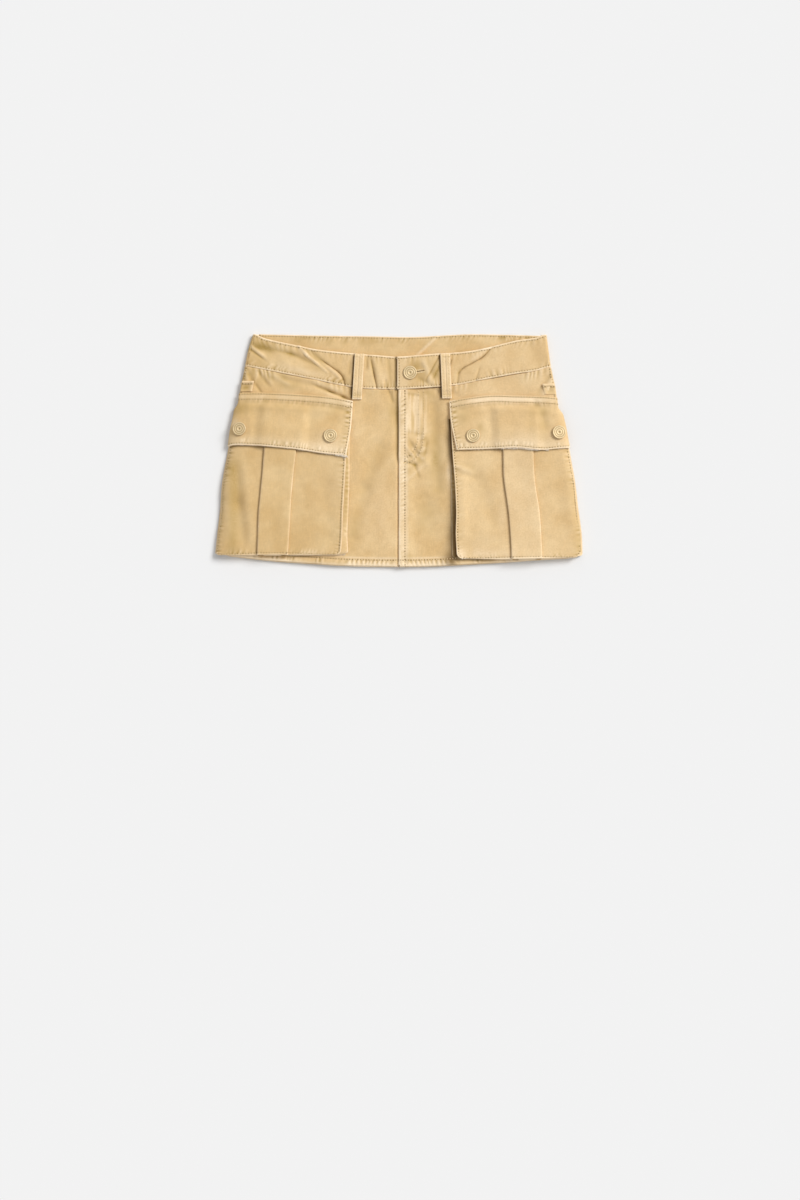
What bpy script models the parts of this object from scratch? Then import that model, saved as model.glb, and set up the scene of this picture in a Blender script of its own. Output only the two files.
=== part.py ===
"""Cargo utility skirt, laid flat on its back: every cut piece as its own cloth wall.

Sizes are millimetres; MM turns them into metres as each mesh is made. X runs across the skirt, +Y runs
towards the waist and +Z points up from the surface that the skirt lies on. "Left" is the -X side.
Positions across a side are given as "reach", the distance from the centre line.
"""

import math
from collections import namedtuple

import bmesh
import bpy
from mathutils import Vector

MM = 0.001
COLLECTION = "cargo_utility_skirt"

# Cloth
WALL = 1.2                      # one thickness of twill
BAND_WALL = 2.6                 # waistband, two thicknesses
FLAP_WALL = 2.2                 # pocket flap, two thicknesses
SEAM_GAP = 0.3                  # between pieces that touch
HALF = WALL / 2
TURN = (WALL + SEAM_GAP) / 2    # radius of a turned edge, at the middle of its wall
LAYER = WALL + SEAM_GAP         # from one layer to the next

# Heights of the middle of each wall above the surface
BACK_MID = HALF
FRONT_MID = 5.2
FRONT_FACE = FRONT_MID + HALF
UNDERLAP_MID = 3.6              # left front panel where it runs under the fly edge
FLY_MID = 6.6                   # right front panel at its fly edge
BAND_MID = 5.3
BAND_UNDERLAP_MID = 4.6         # left band where it runs under the tab
TAB_MID = 7.6                   # right band at the tab
POCKET_MID = 10.1
MOUTH_MID = 7.2                 # pocket panel at its mouth, under the flap
POCKET_SIDE_END = 3.8           # outer edge of the pocket panel, beside the folded side
FLAP_LIFT = 2.4                 # flap's middle above the pocket panel's middle

# Lengths
HEM_DEPTH = 9.0
FLY_FACING = 9.0
UNDERLAP = 8.0
BAND_UNDERLAP = 42.0
TAB_RAMP = (43.5, 56.0)         # where the right band comes back down past the underlap
SIDE_TUCK = 4.0                 # how far the front goes round under the folded side
FLY_STATIONS = (5.0, 9.6)       # columns of the right panel between its fly edge and its shares
UNDERLAP_STATIONS = (UNDERLAP, 3.0, -1.5, -5.5, -9.6)
UNDERLAP_RAMP = (-9.6, -1.5)    # where the left panel sinks to run under the fly
FLY_RAMP = (10.5, 22.0)         # where the right panel comes down beside the fly edge
BAND_RAMP = (-14.0, -4.0)       # where the left band sinks to run under the tab
BAND_UNDERLAP_STATIONS = (BAND_UNDERLAP, 28.0, 14.0, 2.0, -4.0)
TAB_STATIONS = (-2.0, 5.0)
PLEAT_UNDER = 8.0               # cloth turned under each edge of the box pleat
PANEL_INSET = 1.0               # pocket panel's edge inside the bag's outline
GUSSET_FOOT = 0.6
GUSSET_BULGE = 0.2
GUSSET_GAP = 0.95               # from the pocket panel's edge to the gusset's
HEAD_BAND = 12.0                # stitched head of the flap
HEAD_RISE = 0.8
PLEAT_EASE = 16.0               # the flap starts to climb over the pleat this far beside it
PLEAT_SLOPE = 13.0
FLAP_WRAP = 80.0                # degrees that the flap rounds over the side
MOUTH_DROP = 22.0               # pocket mouth below the flap's head
POCKET_TOP_RISE = 28.0          # the bag rises to its full height over this length
BAG_START = 70.0                # reach of the bag's inner bottom corner
BAG_RUN = 158.0                 # from there to its outer bottom corner
PLEAT_REACH = 140.0             # a reach on the pleat, where a row of the bag is read
SIDE_REACH = 200.0              # a reach near the folded side, where the mouth's height is read
LOOP_WIDTH = 12.0
LOOP_TURN = 6.0                 # end of a belt loop turned under
LOOP_STEP = (5.0, 0.5)          # the loop steps down off the band this far below the seam
LOOP_CLEAR = 3.0                # the loop clears what lies this far above and below each point
PATCH_SIZE = (14.5, 13.5)
PATCH_FOOT = {"left": 73.2, "right": 69.6}
PATCH_OVERHANG = 2.0            # the patch's outer edge past the start of the fold
PATCH_STEPS = (0.0, 4.0, 8.0)
PATCH_WRAP = (0, 20, 40)        # degrees that the patch goes round the fold

# Buttons
SHANK_RADIUS = 2.4
EYE_RADIUS = 3.2
SLIT_WIDTH = 2.4
SLIT_LENGTH = 18.0
CUTTER_DEPTH = 20.0
BUTTON_SIDES = 16
FLAP_SHANK = 1.2
BUTTON_CLEAR = 0.1              # more than the seam gap, under a button on a rounded flap
SEAT_STEP = 3.0                 # the slope under a button is read this far on each side
BUTTON_LEAD = 12.0              # the flap under a button levels out this far before its rounding
WELD = 0.00005                  # points on the button's axis are joined, in metres

CLOTH_COLOUR = (0.68, 0.49, 0.27, 1.0)
BUTTON_COLOUR = (0.55, 0.42, 0.24, 1.0)

# Outline of the front and the back, read across from -X to +X
Station = namedtuple("Station", "x band_top seam hem")
FRONT = [
    Station(-200, 148.0, 106.5, -132.6),
    Station(-182, 144.6, 103.4, -134.6),
    Station(-160, 138.6, 99.2, -137.1),
    Station(-120, 130.3, 91.5, -140.2),
    Station(-100, 126.3, 87.6, -141.3),
    Station(-75, 123.2, 82.0, -143.0),
    Station(-50, 120.8, 77.5, -144.0),
    Station(-25, 118.8, 76.3, -144.5),
    Station(0, 117.0, 76.0, -144.6),
    Station(25, 118.9, 77.3, -144.4),
    Station(50, 121.0, 79.2, -143.7),
    Station(75, 122.6, 82.0, -142.2),
    Station(100, 126.2, 87.3, -141.0),
    Station(145, 136.9, 95.4, -138.2),
    Station(170, 140.4, 98.9, -136.3),
    Station(190, 143.4, 104.2, -135.2),
    Station(205, 145.0, 107.0, -134.3),
]
BackTop = namedtuple("BackTop", "x y")
BACK_TOP = [
    BackTop(-182, 145.6),
    BackTop(-100, 143.4),
    BackTop(10, 141.8),
    BackTop(90, 145.4),
    BackTop(182, 143.4),
]
BACK_SEAM = 103.0
BACK_HEM_DROP = 1.0             # the back's hem shows this far below the front's
WAIST_Y = 146                   # heights where the sides are read for the waist and the hem
HEM_Y = -132

# The folded sides: the outermost reach of the front's wall at each height
FoldRow = namedtuple("FoldRow", "y left right")
FOLD = [
    FoldRow(146, 181.5, 184.5),
    FoldRow(125, 188.0, 187.0),
    FoldRow(100, 193.0, 190.8),
    FoldRow(76, 197.8, 195.8),
    FoldRow(40, 202.0, 200.0),
    FoldRow(-132, 221.2, 221.0),
]

# Pocket bag of one side, as reaches at each height: where the gusset is sewn to the skirt, the
# bag's inner edge, the two edges of the raised pleat and the bag's outer edge
PocketRow = namedtuple("PocketRow", "y base inner pleat_in pleat_out outer")
POCKET_LEFT = [
    PocketRow(50, 60.0, 61.6, 123.5, 163.0, 205.2),
    PocketRow(25, 61.0, 63.0, 125.5, 165.2, 209.7),
    PocketRow(3, 61.8, 64.4, 127.4, 167.3, 213.4),
    PocketRow(-37, 61.6, 66.9, 132.0, 170.6, 220.2),
    PocketRow(-75, 62.9, 69.5, 134.9, 174.0, 223.8),
    PocketRow(-105, 64.1, 70.8, 136.8, 175.3, 227.4),
    PocketRow(-130, 62.9, 72.8, 138.2, 176.4, 230.1),
]
POCKET_RIGHT = [
    PocketRow(50, 61.2, 63.4, 128.5, 166.0, 202.8),
    PocketRow(25, 62.6, 64.6, 129.4, 166.8, 209.0),
    PocketRow(3, 64.0, 65.8, 129.9, 167.5, 212.6),
    PocketRow(-37, 65.2, 69.2, 131.2, 169.5, 220.2),
    PocketRow(-75, 65.6, 71.3, 136.4, 174.9, 224.8),
    PocketRow(-105, 66.0, 70.6, 139.0, 177.2, 228.4),
    PocketRow(-130, 66.2, 72.0, 140.4, 178.6, 229.4),
]

# Flap of one side, read across by reach: its sewn head and its free lower edge
FlapRow = namedtuple("FlapRow", "reach head lower")
FLAP_LEFT = [
    FlapRow(57, 61.0, -6.4),
    FlapRow(90, 66.9, -4.2),
    FlapRow(120, 69.6, 0.2),
    FlapRow(150, 71.3, 3.4),
    FlapRow(180, 72.3, 5.8),
    FlapRow(204, 71.6, 6.2),
    FlapRow(214, 71.0, 3.8),
]
FLAP_RIGHT = [
    FlapRow(63, 60.8, 0.0),
    FlapRow(90, 66.0, 0.9),
    FlapRow(118, 69.3, 1.7),
    FlapRow(147, 68.6, 2.9),
    FlapRow(178, 67.8, 0.3),
    FlapRow(200, 66.3, 2.3),
    FlapRow(214, 66.0, 3.1),
]
FlapEdge = namedtuple("FlapEdge", "y reach")
FLAP_EDGE_LEFT = [FlapEdge(62, 57.0), FlapEdge(29, 59.4), FlapEdge(13, 61.9), FlapEdge(-7, 66.5)]
FLAP_EDGE_RIGHT = [FlapEdge(62, 63.0), FlapEdge(37, 64.6), FlapEdge(0, 71.9)]

# One side of the skirt with what is sewn to it. bottom_* are the bag's lower edge at its inner
# edge, its middle and its outer edge; roll is how far in from its outer edge the bag rounds over
# and corner is the radius of its lower outer corner.
Side = namedtuple("Side", "name sign pocket flap flap_edge bottom_in bottom_mid bottom_out roll corner")
LEFT = Side("left", -1, POCKET_LEFT, FLAP_LEFT, FLAP_EDGE_LEFT, -131.0, -131.2, -130.4, 18.0, 6.0)
RIGHT = Side("right", 1, POCKET_RIGHT, FLAP_RIGHT, FLAP_EDGE_RIGHT, -135.0, -136.0, -133.0, 11.0, 9.0)
SIDES = (LEFT, RIGHT)
MOUTH_ROLL = 10.0               # rounding of the bag's outer side at its mouth
MOUTH_ROLL_RUN = 25.0           # it widens from there over this length
ROLL_INSET = 2.5                # the panel's rounding ends this far inside the bag's outer edge
ROLL_LEAD = 20.0                # the panel levels out over this length before its rounding
INNER_CORNER = 6.0
FLAP_RUN = (57.0, 204.0)        # reaches between which the flap's head is read
GUSSET_DROP = 4.2               # the gusset's foot lies this far below the bag's lower edge
HEM_MARGIN = 1.6                # and at least this far above the hem
GUSSET_CORNER = (0.25, 0.95)    # how far the gusset faces one way before its foot follows
GUSSET_SPREAD = 0.4             # share of the foot's reach that the gusset's shoulder takes
SLOPE_STEP = 0.6                # the panel's slope at its edge is read this far inside it
STEEPEST = 8.0
SKIRT_WRAP = 50.0               # degrees that the flap's head rounds over the skirt's side
HEAD_JOIN = (0.5, 11.0)         # above the mouth, from the bag's rounding to the skirt's
STITCH_STEP = 0.6               # half the length over which the flap drops from its stitched head
FLAP_LEAD = 8.0                 # the flap levels out over this length before its rounding

# The largest creases: a soft ridge (rise above 0) or trough along a line
Crease = namedtuple("Crease", "x0 y0 x1 y1 width rise")
BAND_CREASES = [
    Crease(-186, 132, -172, 119, 4.5, 0.8),
    Crease(-162, 127, -103, 106, 5.0, -0.7),
    Crease(-122, 128, -91, 100, 4.0, 1.2),
    Crease(-89, 108, -68, 82, 3.6, -0.9),
    Crease(-34, 108, -27, 80, 4.0, -0.6),
    Crease(113, 125, 74, 90, 4.5, -0.9),
]
PANEL_CREASES = [
    Crease(-100, 79, -70, 68, 4.5, -0.8),
    Crease(-23, 3, -42, -48, 10.0, -1.2),
    Crease(-42, -48, -56, -108, 10.0, -1.0),
    Crease(44, 55, 49, -45, 9.0, -1.1),
    Crease(34, -60, 40, -100, 12.0, -0.8),
]
POCKET_CREASES = [
    Crease(-203, -24, -196, -112, 8.0, -1.2),
    Crease(-92, -40, -86, -110, 9.0, -0.6),
    Crease(80, -28, 82, -104, 5.0, 0.5),
    Crease(98, -30, 118, -92, 9.0, -0.8),
]
FLAP_CREASES = [
    Crease(-171, 52, -173, 12, 6.0, -0.7),
    Crease(170, 58, 183, 30, 5.0, -0.6),
]
CREASE_TAPER = 8.0


def clamp(value, low=0.0, high=1.0):
    return max(low, min(high, value))


def ease(start, end, at):
    """0 before start, 1 after end and a smooth step between them."""
    t = clamp((at - start) / (end - start))
    return t * t * (3 - 2 * t)


def blend(a, b, t):
    return a + (b - a) * t


def reading(rows, key, column, at):
    """Read one column of a table on a smooth curve through its rows, straight past its ends."""
    points = sorted((getattr(row, key), getattr(row, column)) for row in rows)
    last = len(points) - 2
    i = 0
    while i < last and at > points[i + 1][0]:
        i += 1
    (x0, y0), (x1, y1) = points[i], points[i + 1]
    before, after = points[max(i - 1, 0)], points[min(i + 2, last + 1)]
    slope0 = (y1 - before[1]) / (x1 - before[0])
    slope1 = (after[1] - y0) / (after[0] - x0)
    t = (at - x0) / (x1 - x0)
    if t < 0:
        return y0 + slope0 * (at - x0)
    if t > 1:
        return y1 + slope1 * (at - x1)
    run = x1 - x0
    return ((1 + 2 * t) * (1 - t) ** 2 * y0 + t * (1 - t) ** 2 * run * slope0
            + t * t * (3 - 2 * t) * y1 + t * t * (t - 1) * run * slope1)


def crease_rise(creases, x, y):
    """Height that the creases add at a point: a bell across each line, tapered past its ends."""
    total = 0.0
    for crease in creases:
        along_x, along_y = crease.x1 - crease.x0, crease.y1 - crease.y0
        length = math.hypot(along_x, along_y)
        along = ((x - crease.x0) * along_x + (y - crease.y0) * along_y) / length
        across = abs((x - crease.x0) * along_y - (y - crease.y0) * along_x) / length
        past = max(-along, along - length, 0.0)
        total += crease.rise * math.exp(-(across / crease.width) ** 2 - (past / CREASE_TAPER) ** 2)
    return total


# ---------------------------------------------------------------- meshes and materials

def new_collection(name):
    collection = bpy.data.collections.new(name)
    bpy.context.scene.collection.children.link(collection)
    return collection


def make_material(name, colour, roughness, metallic=0.0):
    material = bpy.data.materials.new(name)
    material.use_nodes = True
    shader = material.node_tree.nodes["Principled BSDF"]
    shader.inputs["Base Color"].default_value = colour
    shader.inputs["Roughness"].default_value = roughness
    shader.inputs["Metallic"].default_value = metallic
    return material


def cloth_wall(name, rows, thickness, drop=None):
    """A wall of cloth through rows of points on its middle. drop(i, j) leaves a patch out."""
    bm = bmesh.new()
    grid = [[bm.verts.new(Vector(point) * MM) for point in row] for row in rows]
    for i in range(len(grid) - 1):
        for j in range(len(grid[0]) - 1):
            if drop and drop(i, j):
                continue
            bm.faces.new((grid[i][j], grid[i][j + 1], grid[i + 1][j + 1], grid[i + 1][j]))
    loose = [vert for vert in bm.verts if not vert.link_faces]
    bmesh.ops.delete(bm, geom=loose, context="VERTS")
    mesh = bpy.data.meshes.new(name)
    bm.to_mesh(mesh)
    bm.free()
    mesh.shade_smooth()
    mesh.materials.append(make_material(name + "_twill", CLOTH_COLOUR, 0.9))
    piece = bpy.data.objects.new(name, mesh)
    bpy.data.collections[COLLECTION].objects.link(piece)
    solidify = piece.modifiers.new("wall", "SOLIDIFY")
    solidify.thickness = thickness * MM
    solidify.offset = 0.0
    solidify.use_even_offset = True
    return piece


# ---------------------------------------------------------------- front and back

def fold_reach(side, y):
    return reading(FOLD, "y", side.name, y)


def flat_reach(side, y):
    """Where the front stops being flat and starts to go round the folded side."""
    return fold_reach(side, y) - FRONT_FACE / 2


ARC_STEPS = (36, 72, 108, 144, 180)     # degrees round the folded side


def side_columns(side, y, mid, low_mid, half, height):
    """Points round a folded side at one height: (reach, z, normal_reach, normal_z) each."""
    radius = (mid - low_mid) / 2
    centre = fold_reach(side, y) - half - radius
    columns = [(centre, height(centre), 0.0, 1.0)]
    for degrees in ARC_STEPS:
        angle = math.radians(degrees)
        columns.append((centre + radius * math.sin(angle), low_mid + radius + radius * math.cos(angle),
                        math.sin(angle), math.cos(angle)))
    columns.append((centre - SIDE_TUCK, low_mid, 0.0, -1.0))
    return columns


PANEL_SHARES = (0.085, 0.13, 0.175, 0.22, 0.265, 0.31, 0.36, 0.43, 0.51, 0.60, 0.69, 0.78, 0.86, 0.93)
PANEL_LEVELS = (0.0, 0.05, 0.10, 0.16, 0.24, 0.34, 0.43, 0.52, 0.61, 0.70, 0.79, 0.87, 0.94)
HEM_STEPS = (0, 60, 120, 180)           # degrees round the turned hem


def front_height(side, x, y):
    """Middle of a front panel's wall, with the lap at the centre and the large creases."""
    if side is LEFT:
        lap = blend(FRONT_MID, UNDERLAP_MID, ease(*UNDERLAP_RAMP, x))
    else:
        lap = blend(FLY_MID, FRONT_MID, ease(*FLY_RAMP, x))
    return lap + crease_rise(PANEL_CREASES, x, y)


def panel_section(side, share_of_x, y):
    """One row of a front panel from the centre out, as (x, z, normal_x, normal_z)."""
    row = []
    if side is RIGHT:
        centre = HALF + TURN
        top = front_height(side, centre, y)
        row.append((FLY_FACING, top - LAYER, 0.0, -1.0))
        for degrees in (180, 240, 300):
            angle = math.radians(degrees)
            row.append((centre + TURN * math.sin(angle), top - TURN + TURN * math.cos(angle),
                        math.sin(angle), math.cos(angle)))
        row.append((centre, top, 0.0, 1.0))
        for x in FLY_STATIONS:
            row.append((x, front_height(side, x, y), 0.0, 1.0))
    else:
        for x in UNDERLAP_STATIONS:
            row.append((x, front_height(side, x, y), 0.0, 1.0))
    for share in share_of_x:
        x = side.sign * share * flat_reach(side, y)
        row.append((x, front_height(side, x, y), 0.0, 1.0))
    end = side_columns(side, y, FRONT_MID, BACK_MID, HALF,
                       lambda reach: front_height(side, side.sign * reach, y))
    row += [(side.sign * reach, z, side.sign * nx, nz) for reach, z, nx, nz in end]
    return row


def front_panel(side):
    """Front panel: seam to hem, round the folded side, hem turned up inside."""
    top_reach, hem_reach = flat_reach(side, BACK_SEAM), flat_reach(side, HEM_Y)
    lead = 5 + len(FLY_STATIONS) if side is RIGHT else len(UNDERLAP_STATIONS)
    shares = [0.0] * lead + list(PANEL_SHARES) + [1.0] * (len(ARC_STEPS) + 2)

    def ends(column):
        x_top = side.sign * shares[column] * top_reach
        x_hem = side.sign * shares[column] * hem_reach
        return (reading(FRONT, "x", "seam", x_top) - SEAM_GAP / 2,
                reading(FRONT, "x", "hem", x_hem) + HALF + TURN)

    rows = []
    for level in PANEL_LEVELS + (1.0,):
        row = []
        for column in range(len(shares)):
            seam, hem = ends(column)
            y = blend(seam, hem, level)
            x, z, _, _ = panel_section(side, PANEL_SHARES, y)[column]
            row.append((x, y, z))
        rows.append(row)
    for degrees in HEM_STEPS[1:] + (None,):
        row = []
        for column in range(len(shares)):
            hem = ends(column)[1]
            x, z, nx, nz = panel_section(side, PANEL_SHARES, hem)[column]
            if degrees is None:
                y, depth = hem + HEM_DEPTH, LAYER
                x, z, nx, nz = panel_section(side, PANEL_SHARES, y)[column]
            else:
                angle = math.radians(degrees)
                y, depth = hem - TURN * math.sin(angle), TURN * (1 - math.cos(angle))
            row.append((x - nx * depth, y, z - nz * depth))
        rows.append(row)
    hem_row = len(PANEL_LEVELS)
    plain = lead - 1                        # columns with no turned hem, where the fronts lap
    return cloth_wall("front_panel_" + side.name, rows, WALL,
                      lambda i, j: i >= hem_row and j < plain)


def back_edge(side, y):
    return flat_reach(side, y) - SIDE_TUCK - SEAM_GAP


BACK_COLUMNS = [i / 7 for i in range(-7, 8)]


def back_x(share, y):
    side = LEFT if share < 0 else RIGHT
    return share * back_edge(side, y)


def back_panel():
    """Back panel, flat on the surface, with its hem turned up inside."""
    hems = [reading(FRONT, "x", "hem", back_x(share, HEM_Y)) - BACK_HEM_DROP + HALF + TURN
            for share in BACK_COLUMNS]
    rows = []
    for level in (0.0, 0.25, 0.5, 0.75, 1.0):
        heights = [blend(BACK_SEAM - SEAM_GAP / 2, hem, level) for hem in hems]
        rows.append([(back_x(share, y), y, BACK_MID) for share, y in zip(BACK_COLUMNS, heights)])
    for degrees in HEM_STEPS[1:]:
        angle = math.radians(degrees)
        drop, z = TURN * math.sin(angle), BACK_MID + TURN * (1 - math.cos(angle))
        rows.append([(back_x(share, hem), hem - drop, z) for share, hem in zip(BACK_COLUMNS, hems)])
    rows.append([(back_x(share, hem + HEM_DEPTH), hem + HEM_DEPTH, BACK_MID + LAYER)
                 for share, hem in zip(BACK_COLUMNS, hems)])
    return cloth_wall("back_panel", rows, WALL)


# ---------------------------------------------------------------- waistband

BAND_SHARES = (0.05, 0.09, 0.135, 0.18, 0.225, 0.27, 0.315, 0.36, 0.405, 0.45, 0.495, 0.54, 0.585,
               0.63, 0.675, 0.72, 0.77, 0.82, 0.87, 0.92, 0.96)
BAND_LEVELS = (0.0, 0.2, 0.4, 0.6, 0.8, 1.0)
BAND_LOW_MID = BAND_WALL / 2


def band_height(side, x, y):
    """Middle of the front waistband's wall, with the tab's lap and the large creases."""
    if side is LEFT:
        lap = blend(BAND_MID, BAND_UNDERLAP_MID, ease(*BAND_RAMP, x))
    else:
        lap = blend(TAB_MID, BAND_MID, ease(*TAB_RAMP, x))
    return lap + crease_rise(BAND_CREASES, x, y)


def waistband_front(side):
    """Half of the front waistband: across the front and round the folded side."""
    lead = BAND_UNDERLAP_STATIONS if side is LEFT else TAB_STATIONS
    reach_top = flat_reach(side, WAIST_Y)
    reach_seam = flat_reach(side, BACK_SEAM)
    rows = []
    for level in BAND_LEVELS:
        row = []
        for x in lead:
            top = reading(FRONT, "x", "band_top", x)
            seam = reading(FRONT, "x", "seam", x) + SEAM_GAP / 2
            y = blend(top, seam, level)
            row.append((x, y, band_height(side, x, y)))
        for share in BAND_SHARES + (1.0,):
            x_top, x_seam = side.sign * share * reach_top, side.sign * share * reach_seam
            top = reading(FRONT, "x", "band_top", x_top)
            seam = reading(FRONT, "x", "seam", x_seam) + SEAM_GAP / 2
            y = blend(top, seam, level)
            if share < 1.0:
                x = side.sign * share * flat_reach(side, y)
                row.append((x, y, band_height(side, x, y)))
                continue
            for reach, z, _, _ in side_columns(side, y, BAND_MID, BAND_LOW_MID, BAND_WALL / 2,
                                               lambda at: BAND_MID):
                row.append((side.sign * reach, y, z))
        rows.append(row)
    return cloth_wall("waistband_front_" + side.name, rows, BAND_WALL)


def waistband_back():
    """Back waistband, flat, its inside face showing above the dipped front."""
    inset = BAND_WALL / 2 + (BAND_MID - BAND_LOW_MID) / 2 + SIDE_TUCK + SEAM_GAP

    def x_at(share, y):
        side = LEFT if share < 0 else RIGHT
        return share * (fold_reach(side, y) - inset)

    rows = []
    for level in (0.0, 0.33, 0.67, 1.0):
        row = []
        for share in BACK_COLUMNS:
            top = reading(BACK_TOP, "x", "y", x_at(share, WAIST_Y))
            y = blend(top, BACK_SEAM + SEAM_GAP / 2, level)
            row.append((x_at(share, y), y, BAND_LOW_MID))
        rows.append(row)
    return cloth_wall("waistband_back", rows, BAND_WALL)


BUTTON_AT = Vector((14.1, 96.9))
SLIT_RISE = math.radians(8)     # the buttonhole climbs a little away from the front edge


def cut_buttonhole(band):
    """Keyhole buttonhole through the tab: a round eye for the shank and a slit beside it."""
    bpy.ops.mesh.primitive_cylinder_add(vertices=BUTTON_SIDES, radius=EYE_RADIUS * MM,
                                        depth=CUTTER_DEPTH * MM)
    eye = bpy.context.object
    eye.name = "buttonhole_eye"
    eye.location = (BUTTON_AT.x * MM, BUTTON_AT.y * MM, TAB_MID * MM)
    bpy.ops.mesh.primitive_cube_add(size=1.0)
    slit = bpy.context.object
    slit.name = "buttonhole_slit"
    slit.scale = (SLIT_LENGTH * MM, SLIT_WIDTH * MM, CUTTER_DEPTH * MM)
    slit.rotation_euler.z = SLIT_RISE
    slit.location = ((BUTTON_AT.x + math.cos(SLIT_RISE) * SLIT_LENGTH / 2) * MM,
                     (BUTTON_AT.y + math.sin(SLIT_RISE) * SLIT_LENGTH / 2) * MM, TAB_MID * MM)
    cutters = new_collection("cutters")
    for cutter in (eye, slit):
        for collection in list(cutter.users_collection):
            collection.objects.unlink(cutter)
        cutters.objects.link(cutter)
        cutter.hide_render = True
        cutter.display_type = "WIRE"
        cut = band.modifiers.new(cutter.name, "BOOLEAN")
        cut.operation = "DIFFERENCE"
        cut.object = cutter


# ---------------------------------------------------------------- belt loops and side patches

Loop = namedtuple("Loop", "side top_x top_y foot_x foot_y")
LOOPS = (Loop(LEFT, -48.8, 120.4, -52.2, 63.4), Loop(RIGHT, 57.8, 120.4, 60.1, 64.6))


def belt_loop(loop):
    """A strap over the band, with both ends turned under and sewn down."""
    seam = reading(FRONT, "x", "seam", loop.top_x)
    under = HALF + SEAM_GAP

    def face(x, y):
        """Outer face of what the loop lies on: the band, then the panel below its seam."""
        band = band_height(loop.side, x, y) + BAND_WALL / 2
        panel = front_height(loop.side, x, y) + HALF
        return blend(panel, band, ease(seam - LOOP_STEP[0], seam - LOOP_STEP[1], y))

    top, foot = loop.top_y - HALF - TURN, loop.foot_y + HALF + TURN
    path = [(top - LOOP_TURN, 0.0), (top, 0.0)]
    path += [(top + TURN * math.sin(math.radians(a)), TURN * (1 - math.cos(math.radians(a))))
             for a in (60, 120)]
    path += [(blend(top, foot, t), LAYER) for t in (0.0, 0.2, 0.4, 0.55, 0.7, 0.8, 0.9, 1.0)]
    path += [(foot - TURN * math.sin(math.radians(a)), TURN * (1 + math.cos(math.radians(a))))
             for a in (60, 120)]
    path += [(foot, 0.0), (foot + LOOP_TURN, 0.0)]
    rows = []
    for y, rise in path:
        x = blend(loop.foot_x, loop.top_x, (y - loop.foot_y) / (loop.top_y - loop.foot_y))
        edges = [x - LOOP_WIDTH / 2, x, x + LOOP_WIDTH / 2]
        base = max(face(edge, at) for edge in edges for at in (y - LOOP_CLEAR, y, y + LOOP_CLEAR)) + under
        rows.append([(edge, y, base + rise) for edge in edges])
    return cloth_wall("belt_loop_" + loop.side.name, rows, WALL)


def side_patch(side):
    """A small square sewn over the side seam, its outer edge over the start of the fold."""
    width, height = PATCH_SIZE
    lift = HALF + SEAM_GAP
    rows = []
    for level in (0.0, 0.5, 1.0):
        y = PATCH_FOOT[side.name] + height * level
        start = flat_reach(side, y)
        radius = FRONT_FACE / 2 + lift
        row = [(side.sign * (start + PATCH_OVERHANG - width + step), y, FRONT_FACE + lift)
               for step in PATCH_STEPS]
        for degrees in PATCH_WRAP:
            angle = math.radians(degrees)
            row.append((side.sign * (start + radius * math.sin(angle)), y,
                        FRONT_FACE / 2 + radius * math.cos(angle)))
        rows.append(row)
    return cloth_wall("side_patch_" + side.name, rows, WALL)


# ---------------------------------------------------------------- pockets

PLEAT_TURN_STEPS = (45, 90, 135)
ROLL_STEPS = (0, 20, 38, 54, 68, 80, 90)


def pocket(side, column, y):
    return reading(side.pocket, "y", column, y)


def flap_line(side, column, reach):
    return reading(side.flap, "reach", column, reach)


def pocket_bottom(side, reach):
    t = clamp((reach - BAG_START) / BAG_RUN)
    rise = blend(side.bottom_in, side.bottom_out, t)
    middle = side.bottom_mid - (side.bottom_in + side.bottom_out) / 2
    return rise + middle * 4 * t * (1 - t)


def pocket_mouth(side, reach):
    return flap_line(side, "head", clamp(reach, *FLAP_RUN)) - MOUTH_DROP


def pocket_roll(side, y):
    """Rounding of the bag over the folded side: (start, width, low, height) of its quarter oval."""
    mouth = pocket_mouth(side, SIDE_REACH)
    width = blend(side.roll, MOUTH_ROLL, ease(mouth - MOUTH_ROLL_RUN, mouth, y))
    top = blend(POCKET_MID, MOUTH_MID, 1 - ease(0.0, POCKET_TOP_RISE, mouth - y))
    start = pocket(side, "outer", y) - ROLL_INSET - width
    return start, width, POCKET_SIDE_END, top - POCKET_SIDE_END


def pocket_height(side, reach, y):
    """Middle of the pocket panel's wall, without its pleat."""
    start, width, low, height = pocket_roll(side, y)
    rise = crease_rise(POCKET_CREASES, side.sign * reach, y)
    if reach > start:
        sine = clamp((reach - start) / width)
        return low + height * math.sqrt(1 - sine * sine) + rise * (1 - sine)
    mouth = pocket_mouth(side, reach)
    local = blend(MOUTH_MID, POCKET_MID, ease(0.0, POCKET_TOP_RISE, mouth - y))
    near_roll = ease(start - ROLL_LEAD, start, reach)
    return blend(local, low + height, near_roll) + rise


def corner_inset(up, radius):
    if up >= radius:
        return 0.0
    return radius - math.sqrt(radius * radius - (radius - up) ** 2)


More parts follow.
